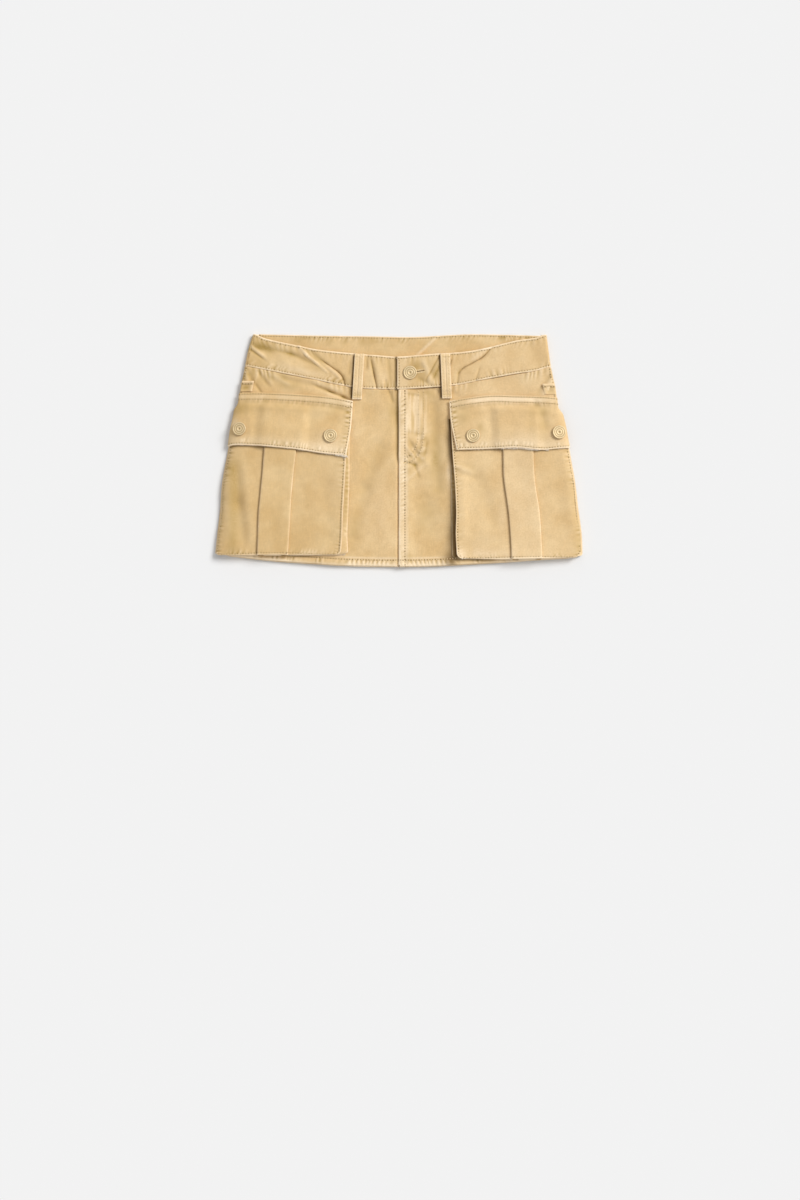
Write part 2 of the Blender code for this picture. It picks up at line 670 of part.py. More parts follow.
def pocket_stations(side, y, inset_in, inset_out):
    """Reaches of one row of the pocket panel with the layer each lies on, pleat folds included."""
    inner = pocket(side, "inner", y) + PANEL_INSET + inset_in
    pleat_in, pleat_out = pocket(side, "pleat_in", y), pocket(side, "pleat_out", y)
    fold_in, fold_out = pleat_in + PLEAT_UNDER, pleat_out - PLEAT_UNDER
    edge_in, edge_out = pleat_in + HALF + TURN, pleat_out - HALF - TURN
    row = [(blend(inner, fold_in, t), 0.0) for t in (0.0, 0.08, 0.2, 0.4, 0.6, 0.8, 1.0)]

    def turn(reach, layer, way, outward):
        for degrees in PLEAT_TURN_STEPS:
            angle = math.radians(degrees)
            row.append((reach + outward * TURN * math.sin(angle),
                        layer * LAYER + way * TURN * (1 - math.cos(angle))))
        row.append((reach, (layer + way) * LAYER))

    turn(fold_in, 0, 1, 1)
    row.append((edge_in, LAYER))
    turn(edge_in, 1, 1, -1)
    row += [(blend(edge_in, edge_out, t), 2 * LAYER) for t in (0.33, 0.67, 1.0)]
    turn(edge_out, 2, -1, 1)
    row.append((fold_out, LAYER))
    turn(fold_out, 1, -1, -1)
    start, width, _, _ = pocket_roll(side, y)
    end = start + width
    outer = [blend(fold_out, start, t) for t in (0.35, 0.7)]
    outer += [start + width * math.sin(math.radians(degrees)) for degrees in ROLL_STEPS]
    squeeze = (end - inset_out - fold_out) / (end - fold_out)
    row += [(fold_out + (reach - fold_out) * squeeze, 0.0) for reach in outer]
    return row


POCKET_UPS = (0.0, 0.7, 2.4, 5.2, 9.0)
POCKET_LEVELS = (0.18, 0.32, 0.46, 0.60, 0.74, 0.84, 0.92, 1.0)
BOTTOM_STEPS = 10


def pocket_row_y(side, reach, up):
    """Height of a row at a reach: up is millimetres near the bottom, a share of the way above."""
    bottom = pocket_bottom(side, reach) + PANEL_INSET
    if up in POCKET_UPS:
        return bottom + up
    return blend(bottom, pocket_mouth(side, reach), up)


def pocket_row(side, up):
    """Stations of one row of the pocket panel, drawn in where its lower corners are rounded."""
    rise = up if up in POCKET_UPS else POCKET_UPS[-1]
    y = pocket_row_y(side, PLEAT_REACH, up)
    return pocket_stations(side, y, corner_inset(rise, INNER_CORNER), corner_inset(rise, side.corner))


def pocket_ends(side, up):
    row = pocket_row(side, up)
    return row[0][0], row[-1][0]


def pocket_panel(side):
    """Front of the pocket bag with a box pleat folded from the same cloth."""
    rows = []
    for up in POCKET_UPS + POCKET_LEVELS:
        row = []
        for reach, layer in pocket_row(side, up):
            y = pocket_row_y(side, reach, up)
            row.append((side.sign * reach, y, pocket_height(side, reach, y) + layer))
        rows.append(row)
    return cloth_wall("pocket_panel_" + side.name, rows, WALL)


def gusset_path(side):
    """Edge of the pocket panel, from the mouth down, along the bottom and up the outer side."""
    inner, outer = [], []
    for up in POCKET_UPS + POCKET_LEVELS:
        first, last = pocket_ends(side, up)
        inner.append((first, pocket_row_y(side, first, up)))
        outer.append((last, pocket_row_y(side, last, up)))
    (first, _), (last, _) = inner[0], outer[0]
    steps = [blend(first, last, step / BOTTOM_STEPS) for step in range(1, BOTTOM_STEPS)]
    return inner[::-1] + [(reach, pocket_row_y(side, reach, 0.0)) for reach in steps] + outer


def gusset_foot(side, reach, y, out_reach, out_y):
    """Where the gusset's lower edge is sewn: on the panel, or beside the fold on the surface."""
    on_panel = FRONT_FACE + SEAM_GAP + GUSSET_FOOT
    outer = ease(*GUSSET_CORNER, out_reach)
    inner = ease(*GUSSET_CORNER, -out_reach)
    hem = reading(FRONT, "x", "hem", side.sign * reach)
    below = max(y - GUSSET_DROP, hem + HEM_MARGIN)
    foot_reach = blend(reach, pocket(side, "base", y), inner)
    foot_reach = blend(foot_reach, pocket(side, "outer", y) - HALF, outer)
    foot_y = blend(y, below, ease(*GUSSET_CORNER, -out_y))
    return foot_reach, foot_y, blend(on_panel, BACK_MID + SEAM_GAP, outer)


def pocket_gusset(side):
    """Strip between the pocket panel's edge and the skirt, round three sides of the bag."""
    path = gusset_path(side)
    top_row, shoulder_row, foot_row = [], [], []
    for index, (reach, y) in enumerate(path):
        before, after = path[max(index - 1, 0)], path[min(index + 1, len(path) - 1)]
        run = Vector((after[0] - before[0], after[1] - before[1])).normalized()
        out = Vector((run.y, -run.x))
        inside = Vector((reach, y)) - out * SLOPE_STEP
        edge_z = pocket_height(side, reach, y)
        fall = clamp((pocket_height(side, inside.x, inside.y) - edge_z) / SLOPE_STEP, 0.0, STEEPEST)
        along = Vector((out.x, out.y, -fall)).normalized()
        top = Vector((reach, y, edge_z)) + along * GUSSET_GAP
        foot = Vector(gusset_foot(side, reach, y, out.x, out.y))
        spread = max((foot.xy - top.xy).dot(out), 0.0) * GUSSET_SPREAD
        shoulder = Vector((*(top.xy + out * (spread + GUSSET_BULGE)), blend(top.z, foot.z, GUSSET_SPREAD)))
        for row, point in ((top_row, top), (shoulder_row, shoulder), (foot_row, foot)):
            row.append((side.sign * point.x, point.y, point.z))
    return cloth_wall("pocket_gusset_" + side.name, [top_row, shoulder_row, foot_row], WALL)


# ---------------------------------------------------------------- flaps

def flap_roll(side, y):
    """Rounding of the flap over the side, over the skirt's own fold at its head."""
    start, width, low, height = pocket_roll(side, y)
    over_bag = (start, width + FLAP_LIFT, low, height + FLAP_LIFT, FLAP_WRAP)
    radius = FRONT_FACE / 2 + SEAM_GAP + FLAP_WALL / 2
    over_skirt = (flat_reach(side, y), radius, FRONT_FACE / 2, radius, SKIRT_WRAP)
    mouth = pocket_mouth(side, SIDE_REACH)
    t = ease(mouth - HEAD_JOIN[0], mouth + HEAD_JOIN[1], y)
    return tuple(blend(a, b, t) for a, b in zip(over_bag, over_skirt))


def flap_height(side, reach, y):
    """Middle of the flap's wall: the pocket's points moved out, the skirt's at its head."""
    depth = flap_line(side, "head", reach) - y
    over_skirt = FRONT_FACE + SEAM_GAP + FLAP_WALL / 2
    pleat_in, pleat_out = pocket(side, "pleat_in", y), pocket(side, "pleat_out", y)
    rise, fall = pleat_in - PLEAT_EASE, pleat_out + PLEAT_EASE
    pleat = ease(rise, rise + PLEAT_SLOPE, reach) * (1 - ease(fall - PLEAT_SLOPE, fall, reach))
    mouth = pocket_mouth(side, reach)
    bag = blend(MOUTH_MID, POCKET_MID, ease(0.0, POCKET_TOP_RISE, mouth - y)) + FLAP_LIFT
    bag += 2 * LAYER * pleat
    head = HEAD_RISE * (1 - ease(HEAD_BAND - STITCH_STEP, HEAD_BAND + STITCH_STEP, depth))
    over_bag = ease(HEAD_BAND - 1.0, MOUTH_DROP - 2.0, depth)
    return blend(over_skirt, bag, over_bag) + head + crease_rise(FLAP_CREASES, side.sign * reach, y)


def flap_section(side, y):
    """One row of the flap from its inner edge to its outer end, as (reach, z)."""
    start, width, low, height, end = flap_roll(side, y)
    inner = reading(side.flap_edge, "y", "reach", y)
    pleat_in, pleat_out = pocket(side, "pleat_in", y), pocket(side, "pleat_out", y)
    rise, fall = pleat_in - PLEAT_EASE, pleat_out + PLEAT_EASE
    reaches = [inner, inner + 6.0, (inner + rise) / 2, rise, rise + PLEAT_SLOPE,
               (pleat_in + pleat_out) / 2, fall - PLEAT_SLOPE, fall, start]
    row = [(reach, blend(flap_height(side, reach, y), low + height, ease(start - FLAP_LEAD, start, reach)))
           for reach in reaches]
    for degrees in ROLL_STEPS[1:]:
        angle = math.radians(end * degrees / 90.0)
        row.append((start + width * math.sin(angle), low + height * math.cos(angle)))
    return row


FLAP_DEPTHS = (0.0, 2.0, 11.2, 13.0, 16.5, 20.0, 24.0, 32.0, 42.0, 54.0)
FLAP_MIDDLE = 20.0              # height at which its columns are placed


def pocket_flap(side):
    """Flap over the pocket mouth: stitched head band, free lower edge, rounded over the side."""
    middle = flap_section(side, FLAP_MIDDLE)
    rows = []
    for depth in FLAP_DEPTHS + (None,):
        row = []
        for column, (at, _) in enumerate(middle):
            y = flap_line(side, "lower", at) if depth is None else flap_line(side, "head", at) - depth
            reach, z = flap_section(side, y)[column]
            row.append((side.sign * reach, y, z))
        rows.append(row)
    return cloth_wall("pocket_flap_" + side.name, rows, FLAP_WALL)


# ---------------------------------------------------------------- buttons

def turned_button(name, centre, normal, shank):
    """A tack button: rimmed cap with a raised ring and a dished middle on a round shank."""
    profile = [
        (0.0, shank + 2.0), (2.2, shank + 2.0), (2.8, shank + 2.5), (4.2, shank + 2.5),
        (4.8, shank + 1.9), (6.0, shank + 1.9), (6.5, shank + 2.6), (7.6, shank + 2.6),
        (8.5, shank + 1.8), (8.5, shank + 0.9), (7.6, shank), (SHANK_RADIUS, shank),
        (SHANK_RADIUS, 0.0), (0.0, 0.0),
    ]
    mesh = bpy.data.meshes.new(name)
    points = [(radius * MM, 0.0, height * MM) for radius, height in profile]
    mesh.from_pydata(points, [(i, i + 1) for i in range(len(points) - 1)], [])
    button = bpy.data.objects.new(name, mesh)
    bpy.data.collections[COLLECTION].objects.link(button)
    mesh.materials.append(make_material(name + "_metal", BUTTON_COLOUR, 0.45, 0.8))
    screw = button.modifiers.new("turned", "SCREW")
    screw.steps = BUTTON_SIDES
    screw.render_steps = BUTTON_SIDES
    screw.use_merge_vertices = True
    screw.merge_threshold = WELD
    button.location = centre * MM
    button.rotation_mode = "QUATERNION"
    button.rotation_quaternion = Vector((0, 0, 1)).rotation_difference(normal)
    return button


FlapButton = namedtuple("FlapButton", "side place reach y")
FLAP_BUTTONS = (
    FlapButton(LEFT, "outer", 198.0, 26.3),
    FlapButton(LEFT, "inner", 85.0, 18.0),
    FlapButton(RIGHT, "inner", 92.5, 18.0),
    FlapButton(RIGHT, "outer", 199.4, 22.0),
)


def flap_surface(side, reach, y):
    """Middle of the flap at a reach, wherever that lies on its flat or its rounding."""
    start, width, low, height, _ = flap_roll(side, y)
    if reach <= start:
        level = ease(start - BUTTON_LEAD, start, reach)
        return Vector((side.sign * reach, y, blend(flap_height(side, reach, y), low + height, level)))
    sine = clamp((reach - start) / width)
    return Vector((side.sign * reach, y, low + height * math.sqrt(1 - sine * sine)))


def flap_button(button):
    """A button on the flap, standing square to the cloth under it."""
    side, reach, y = button.side, button.reach, button.y
    across = flap_surface(side, reach + SEAT_STEP, y) - flap_surface(side, reach - SEAT_STEP, y)
    along = flap_surface(side, reach, y + SEAT_STEP) - flap_surface(side, reach, y - SEAT_STEP)
    normal = (across.cross(along) * side.sign).normalized()
    seat = flap_surface(side, reach, y) + normal * (FLAP_WALL / 2 + SEAM_GAP + BUTTON_CLEAR)
    name = "flap_button_" + side.name + "_" + button.place
    return turned_button(name, seat, normal, FLAP_SHANK)


def waist_button():
    """The waist button: its shank goes through the tab's buttonhole to the band below."""
    seat = BAND_UNDERLAP_MID + BAND_WALL / 2 + SEAM_GAP
    cap_underside = TAB_MID + BAND_WALL / 2 + SEAM_GAP
    return turned_button("waist_button", Vector((BUTTON_AT.x, BUTTON_AT.y, seat)), Vector((0, 0, 1)),
                         cap_underside - seat)


def main():
    for item in list(bpy.data.objects):
        bpy.data.objects.remove(item, do_unlink=True)
    new_collection(COLLECTION)
    back_panel()
    waistband_back()
    for side in SIDES:
        front_panel(side)
        band = waistband_front(side)
        if side is RIGHT:
            cut_buttonhole(band)
        side_patch(side)
        pocket_panel(side)
        pocket_gusset(side)
        pocket_flap(side)
    for loop in LOOPS:
        belt_loop(loop)
    waist_button()
    for button in FLAP_BUTTONS:
        flap_button(button)


main()
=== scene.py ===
"""Cargo utility skirt, laid flat on its back: finished cloth, sewing, buttons, light and camera.

Sizes are millimetres until a mesh is made in metres. X runs across the skirt, +Y runs towards the
waist and +Z points up from the surface that the skirt lies on. "Left" is the -X side. Positions
across a side are given as "reach", the distance from the centre line.
"""

import math
from collections import namedtuple

import bpy
import numpy as np
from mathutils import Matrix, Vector
from mathutils.bvhtree import BVHTree


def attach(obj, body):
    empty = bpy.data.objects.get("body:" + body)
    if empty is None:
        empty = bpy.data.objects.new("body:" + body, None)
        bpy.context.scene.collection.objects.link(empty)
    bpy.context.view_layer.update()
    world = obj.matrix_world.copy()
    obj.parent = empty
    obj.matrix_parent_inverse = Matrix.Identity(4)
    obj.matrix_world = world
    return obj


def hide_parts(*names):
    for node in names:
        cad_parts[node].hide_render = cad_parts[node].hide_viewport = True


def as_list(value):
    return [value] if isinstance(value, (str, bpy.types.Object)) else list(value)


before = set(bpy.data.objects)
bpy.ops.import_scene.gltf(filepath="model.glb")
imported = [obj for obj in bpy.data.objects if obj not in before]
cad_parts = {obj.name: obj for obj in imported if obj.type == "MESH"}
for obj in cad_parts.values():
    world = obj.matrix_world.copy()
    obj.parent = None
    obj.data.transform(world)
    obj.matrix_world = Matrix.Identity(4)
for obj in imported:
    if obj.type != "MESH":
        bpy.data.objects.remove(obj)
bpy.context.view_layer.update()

MM = 0.001

# Cloth
WALL = 1.2              # one thickness of twill
BAND_WALL = 2.6         # waistband, two thicknesses
FLAP_WALL = 2.2         # pocket flap, two thicknesses
SEAM_GAP = 0.3          # between pieces that touch
HALF = WALL / 2
TURN = (WALL + SEAM_GAP) / 2  # radius of a turned edge, at the middle of its wall
LAYER = WALL + SEAM_GAP  # from one layer to the next

# Heights of the middle of each wall above the surface
BACK_MID = HALF
FRONT_MID = 5.2
FRONT_FACE = FRONT_MID + HALF
UNDERLAP_MID = 3.6      # left front panel where it runs under the fly edge
FLY_MID = 6.6           # right front panel at its fly edge
BAND_MID = 5.3
BAND_UNDERLAP_MID = 4.6  # left band where it runs under the tab
TAB_MID = 7.6           # right band at the tab
BAND_LOW_MID = BAND_WALL / 2
POCKET_MID = 10.1
MOUTH_MID = 7.2         # pocket panel at its mouth, under the flap
POCKET_SIDE_END = 3.8   # outer edge of the pocket panel, beside the folded side
FLAP_LIFT = 2.4         # flap's middle above the pocket panel's middle

# Front and back
HEM_DEPTH = 9.0
FLY_FACING = 9.0        # folded in behind the fly edge
UNDERLAP = 8.0          # left front panel past the centre
UNDERLAP_RAMP = (-9.6, -1.5)  # where the left panel sinks to run under the fly
UNDERLAP_RAMP_LOW = (-3.2, -0.3)  # and below the fly, where it does so closer to the edge
FLY_RAMP = (10.5, 22.0)  # where the right panel comes down beside the fly edge
BAND_UNDERLAP = 42.0    # left band past the centre, under the tab
BAND_RAMP = (-14.0, -4.0)  # where the left band sinks to run under the tab
TAB_RAMP = (43.5, 56.0)  # where the right band comes back down past the underlap
SIDE_TUCK = 4.0         # how far the front goes round under the folded side
BACK_SEAM = 103.0
BACK_HEM_DROP = 1.0     # the back's hem shows this far below the front's
WAIST_Y = 146.0         # heights where the sides are read for the waist and the hem
HEM_Y = -132.0
BAND_LENGTH = 41.0      # down the front waistband, for the pitch of its points
BACK_BAND_LENGTH = 42.0  # the same down the back one
PANEL_LENGTH = 221.0    # down a front panel, for the pitch of its points

# Pockets
PLEAT_UNDER = 8.0       # cloth turned under each edge of the box pleat
PANEL_INSET = 1.0       # pocket panel's edge inside the bag's outline
INNER_CORNER = 6.0
BAG_START = 70.0        # reach of the bag's inner bottom corner
BAG_RUN = 158.0         # from there to its outer bottom corner
PLEAT_REACH = 140.0     # a reach on the pleat, where a row of the bag is read
SIDE_REACH = 200.0      # a reach near the folded side, where the mouth's height is read
POCKET_TOP_RISE = 28.0  # the bag rises to its full height over this length
MOUTH_ROLL = 10.0       # rounding of the bag's outer side at its mouth
MOUTH_ROLL_RUN = 25.0   # it widens from there over this length
ROLL_INSET = 2.5        # the panel's rounding ends this far inside the bag's outer edge
ROLL_LEAD = 20.0        # the panel levels out over this length before its rounding
GUSSET_FOOT = 0.6       # middle of the gusset's foot above the panel that it is sewn to
GUSSET_CORNER = (0.25, 0.95)  # how far the gusset faces one way before its foot follows
GUSSET_TUCK = 1.6       # the gusset's upper edge lies this far inside the panel's,
GUSSET_UNDER = WALL + 0.2  # this far under it, from middle to middle,
GUSSET_DROP = 0.8       # and its foot this far below the bag's lower edge,
HEM_MARGIN = 1.6        # but at least this far above the hem
SLOPE_STEP = 0.6        # the panel's slope at its edge is read this far inside it

# Flaps
HEAD_BAND = 12.0        # stitched head of the flap
HEAD_RISE = 0.8         # how far it stands up
PLEAT_EASE = 16.0       # the flap starts to climb over the pleat this far beside it
PLEAT_SLOPE = 13.0      # and climbs over this length
FLAP_WRAP = 80.0        # degrees that the flap rounds over the side
SKIRT_WRAP = 50.0       # degrees that the flap's head rounds over the skirt's side
HEAD_JOIN = (0.5, 11.0)  # above the mouth, from the bag's rounding to the skirt's
MOUTH_DROP = 22.0       # pocket mouth below the flap's head
FLAP_RUN = (57.0, 204.0)  # reaches between which the flap's head is read
FLAP_MIDDLE = 20.0      # height at which its columns are placed
FLAP_EVEN = 54.0        # down from its head its points are even over this length,
# and then at these shares of what is left, down to the free edge
FLAP_SHARES = (0.14, 0.28, 0.41, 0.54, 0.65, 0.76, 0.85, 0.92, 0.965, 0.988, 1.0)
FLAP_EDGE = 6.4         # closely pointed strip along its inner edge
FLAP_LEAD = 8.0         # the flap levels out over this length before its rounding
BUTTON_LEAD = 12.0      # and under a button over this length

# Belt loops and side patches
LOOP_WIDTH = 12.0
LOOP_TURN = 6.0         # end of a belt loop turned under
LOOP_STEP = (5.0, 0.5)  # the loop steps down off the band this far below the seam
LOOP_CLEAR = (6.0, 3.0)  # it clears what lies this far beside, above and below each point
PATCH_SIZE = (14.5, 13.5)
PATCH_FOOT = {"left": 73.2, "right": 69.6}
PATCH_OVERHANG = 2.0    # the patch's outer edge past the start of the fold
PATCH_STEPS = (0.0, 0.15, 0.5, 1.0, 1.7, 2.6, 3.6, 4.8, 6.0, 7.4, 8.8, 10.4)
PATCH_WRAP = (0, 10, 20, 30, 40)  # degrees that the patch goes round the fold

# Buttons
SHANK_RADIUS = 2.4
FLAP_SHANK = 0.25       # what shows of a flap button's shank
EYE_RADIUS = 3.2
SLIT_WIDTH = 2.4
SLIT_SHOWS = 0.45       # share of it that stands open
SLIT_LENGTH = 18.0
SLIT_RISE = math.radians(8)  # the buttonhole climbs a little away from the front edge
CUT_DEPTH = 16.0        # height of the tools that cut it
BUTTON_AT = (14.1, 96.9)
BUTTON_SIDES = 48
BUTTON_CLEAR = 0.1      # more than the seam gap, under a button on a rounded flap
SEAT_STEP = 3.0         # the slope under a button is read this far on each side
WELD = 0.00002          # points on the button's axis are joined, in metres


def table(kind, *rows):
    return [kind(*row) for row in rows]


# Outline of the front and the back, read across from -X to +X
Station = namedtuple("Station", "x band_top seam hem")
FRONT = table(
    Station,
    (-200, 148, 106.5, -132.6),
    (-182, 144.6, 103.4, -134.6),
    (-160, 138.6, 99.2, -137.1),
    (-120, 130.3, 91.5, -140.2),
    (-100, 126.3, 87.6, -141.3),
    (-75, 123.2, 82, -143),
    (-50, 120.8, 77.5, -144),
    (-25, 118.8, 76.3, -144.5),
    (0, 117, 76, -144.6),
    (25, 118.9, 77.3, -144.4),
    (50, 121, 79.2, -143.7),
    (75, 122.6, 82, -142.2),
    (100, 126.2, 87.3, -141),
    (145, 136.9, 95.4, -138.2),
    (170, 140.4, 98.9, -136.3),
    (190, 143.4, 104.2, -135.2),
    (205, 145, 107, -134.3),
)
BackTop = namedtuple("BackTop", "x y")
BACK_TOP = table(
    BackTop,
    (-182, 145.6), (-100, 143.8), (-30, 142.8), (20, 142.1), (90, 145.4), (182, 143.4),
)

# The folded sides: the outermost reach of the front's wall at each height
FoldRow = namedtuple("FoldRow", "y left right")
FOLD = table(
    FoldRow,
    (146, 181.5, 184.5), (125, 188, 187), (100, 193, 190.8), (76, 197.8, 195.8), (40, 202, 200),
    (-132, 221.2, 221),
)

# Pocket bag of one side, as reaches at each height: where the gusset is sewn to the skirt, the
# bag's inner edge, the two edges of the raised pleat and the bag's outer edge
PocketRow = namedtuple("PocketRow", "y base inner pleat_in pleat_out outer")
POCKET_LEFT = table(
    PocketRow,
    (50, 60, 61.6, 123.5, 163, 205.7),
    (25, 61, 63, 125.5, 165.2, 210.4),
    (3, 61.8, 64.4, 127.4, 167.3, 213.4),
    (-37, 61.6, 66.4, 132, 170.6, 220.8),
    (-75, 62.9, 68.5, 134.9, 174, 223.8),
    (-105, 64.1, 69.5, 136.8, 175.3, 227.4),
    (-130, 62.9, 71.3, 138.2, 176.4, 230.1),
)
POCKET_RIGHT = table(
    PocketRow,
    (50, 61.2, 63.4, 128.5, 166, 204),
    (25, 62.6, 64.6, 129.4, 166.8, 209.8),
    (3, 64, 65.8, 129.9, 167.5, 213.4),
    (-37, 65.2, 68.8, 131.2, 169.5, 220.6),
    (-75, 65.6, 70.4, 136.4, 174.9, 225.1),
    (-105, 66, 69.9, 139, 177.2, 229.2),
    (-130, 66.2, 71.2, 140.4, 178.6, 230.3),
)

# Flap of one side, read across by reach: its sewn head and its free lower edge
FlapRow = namedtuple("FlapRow", "reach head lower")
FLAP_LEFT = table(
    FlapRow,
    (57, 61, -6.4), (90, 66.9, -4.2), (120, 69.6, 0.2), (150, 71.3, 3.4), (180, 72.3, 5.8),
    (204, 71.6, 6.2), (214, 71, 3.8),
)
FLAP_RIGHT = table(
    FlapRow,
    (63, 60.8, 0), (90, 66, 0.9), (118, 69.3, 1.7), (147, 68.6, 2.9), (178, 67.8, 0.3), (200, 66.3, 2.3),
    (214, 66, 3.1),
)
FlapEdge = namedtuple("FlapEdge", "y reach")
FLAP_EDGE_LEFT = [FlapEdge(62, 57.0), FlapEdge(29, 59.4), FlapEdge(13, 61.9), FlapEdge(-7, 65.4)]
FLAP_EDGE_RIGHT = [FlapEdge(62, 63.0), FlapEdge(37, 64.6), FlapEdge(0, 71.9)]

Side = namedtuple("Side", "name sign pocket flap flap_edge bottom_in bottom_mid bottom_out roll corner")
LEFT = Side("left", -1, POCKET_LEFT, FLAP_LEFT, FLAP_EDGE_LEFT, -131.0, -131.4, -131.6, 18.0, 4.5)
RIGHT = Side("right", 1, POCKET_RIGHT, FLAP_RIGHT, FLAP_EDGE_RIGHT, -135.2, -136.4, -133.6, 11.0, 9.0)
SIDES = (LEFT, RIGHT)

# Creases: a soft ridge (rise above 0) or trough along a line
Crease = namedtuple("Crease", "x0 y0 x1 y1 width rise")
BAND_CREASES = table(
    Crease,
    (-187, 132, -171, 119, 2.2, 1.1), (-187, 127, -173, 117, 1.8, -1.2), (-180, 129, -160, 122, 3.5, -1),
    (-162, 127, -134, 120, 3, -0.9), (-134, 120, -104, 107, 3, -0.9), (-140, 108, -118, 98, 5, 0.7),
    (-123, 128, -115, 119, 1, 1.1), (-115, 119, -103, 109, 1, 1.2), (-103, 109, -92, 100, 1.4, 0.8),
    (-119, 120, -104, 107, 4, 0.7), (-110, 124, -98, 113, 3, -1), (-90, 108, -75, 97, 1.5, -2.3),
    (-75, 97, -69.5, 89.5, 1.5, -2.4), (-69.5, 89.5, -67.4, 81, 1.5, -1.9), (-86, 103, -76, 94, 2.6, 1),
    (-62, 118, -60, 84, 5, 0.6), (-34, 109, -30.5, 93, 1.7, -1.7), (-30.5, 93, -27.5, 77, 1.6, -2),
    (-39, 118, -40, 105, 2.2, -1), (-61, 108, -62, 97, 2, -0.8), (-16.5, 86, -15.4, 77, 1.8, -1.2),
    (-28, 108, -22, 86, 3.4, 0.8), (-13, 112, -11, 84, 3, -0.8), (113, 125, 104, 116, 1.4, -2.2),
    (104, 116, 92, 109, 1.4, -1.9), (92, 109, 81, 103, 1.5, -1.7), (81, 103, 75, 97, 1.6, -1.5),
    (49, 115, 38, 95, 1.5, -1.4), (65, 111, 62, 103, 1.6, -1.2), (75, 97, 73, 85, 2.2, -1.1),
    (108, 127, 96, 116, 3, 0.8), (100, 100, 96, 88, 2.2, -1.2), (128, 128, 122, 96, 8, 0.5),
    (160, 138, 176, 108, 8, -0.6), (66, 122, 58, 112, 2.4, -0.9), (32, 108, 38, 92, 3, 1),
    (28, 88, 42, 80, 3, -1), (50, 104, 44, 92, 2.4, -1),
)
PANEL_CREASES = table(
    Crease,
    (-100, 79, -85, 73, 1.8, -1.8), (-85, 73, -70, 67, 1.8, -2), (-70, 67, -62, 62, 2, -1.6),
    (-193, 99, -189, 89, 2, 0.9), (-186, 96, -183, 86, 3, -1.1), (-176, 98, -180, 84, 1.6, 0.6),
    (-175, 97, -165, 84, 2.1, -0.9), (-170, 98, -160, 85, 2.2, 0.5), (-178, 81, -173, 74, 1.6, -1.4),
    (-11.5, 72, -8, 62, 2.2, -1.3), (-100, 84, -78, 77, 3, 0.8), (-84, 68, -68, 60, 3, 0.8),
    (-140, 88, -112, 82, 3.5, -1), (-156, 93, -140, 84, 3, 0.9), (-11, 72, -3, 38, 5, -1.2),
    (-30, 72, -20, 50, 7, 0.5), (-23, 3, -42, -48, 9, -1.6), (-42, -48, -56, -108, 9, -1.4),
    (44, 55, 49, -45, 8, -2.2), (34, -60, 40, -100, 11, -1), (20, 10, 34, -14, 4, 0.8),
    (26, 44, 30, 10, 3.4, 0.7), (-55, 40, -50, -30, 9, 0.7), (-20, -60, -16, -130, 9, 0.6),
    (120, 84, 150, 88, 6, -0.6), (186, 90, 176, 76, 3, -1.3), (190, 86, 182, 72, 2.6, 1),
    (50, 74, 70, 70, 3.5, -0.8),
)
POCKET_CREASES = table(
    Crease,
    (-203, -20, -200, -66, 6.5, -2.2), (-200, -66, -194, -112, 7, -1.8), (-216, -40, -213, -100, 5, 1),
    (-190, -30, -184, -100, 6, 0.7), (-186, -112, -206, -122, 6, 0.8), (-150, -20, -156, -104, 9, -0.5),
    (-92, -40, -86, -110, 9, -0.8), (-112, -64, -76, -84, 7, 0.4), (-120, -112, -90, -100, 7, 0.5),
    (80, -28, 82, -104, 5, 0.8), (98, -30, 118, -92, 9, -1), (70, -20, 86, -26, 3, 0.8),
    (72, -28, 92, -34, 4, -0.8), (154, -20, 158, -120, 9, -0.4), (196, -20, 204, -100, 9, -0.5),
    (84, -122, 120, -112, 6, -0.5),
)
FLAP_CREASES = table(
    Crease,
    (-171, 52, -173, 12, 6, -0.8), (-190, 50, -186, 22, 5, 0.6), (-140, 50, -144, 20, 8, 0.5),
    (-112, 46, -106, 18, 8, -0.6), (-76, 52, -88, 44, 4, -0.6), (170, 58, 183, 30, 5, -0.9),
    (160, 56, 150, 24, 7, 0.6), (110, 52, 120, 22, 8, -0.5), (74, 52, 96, 44, 4.5, -0.7),
)
CREASE_TAPER = 8.0      # a crease fades out over this length past its ends
SHARP = 3.2             # creases narrower than this show most of their colour: kept dye and painted shade
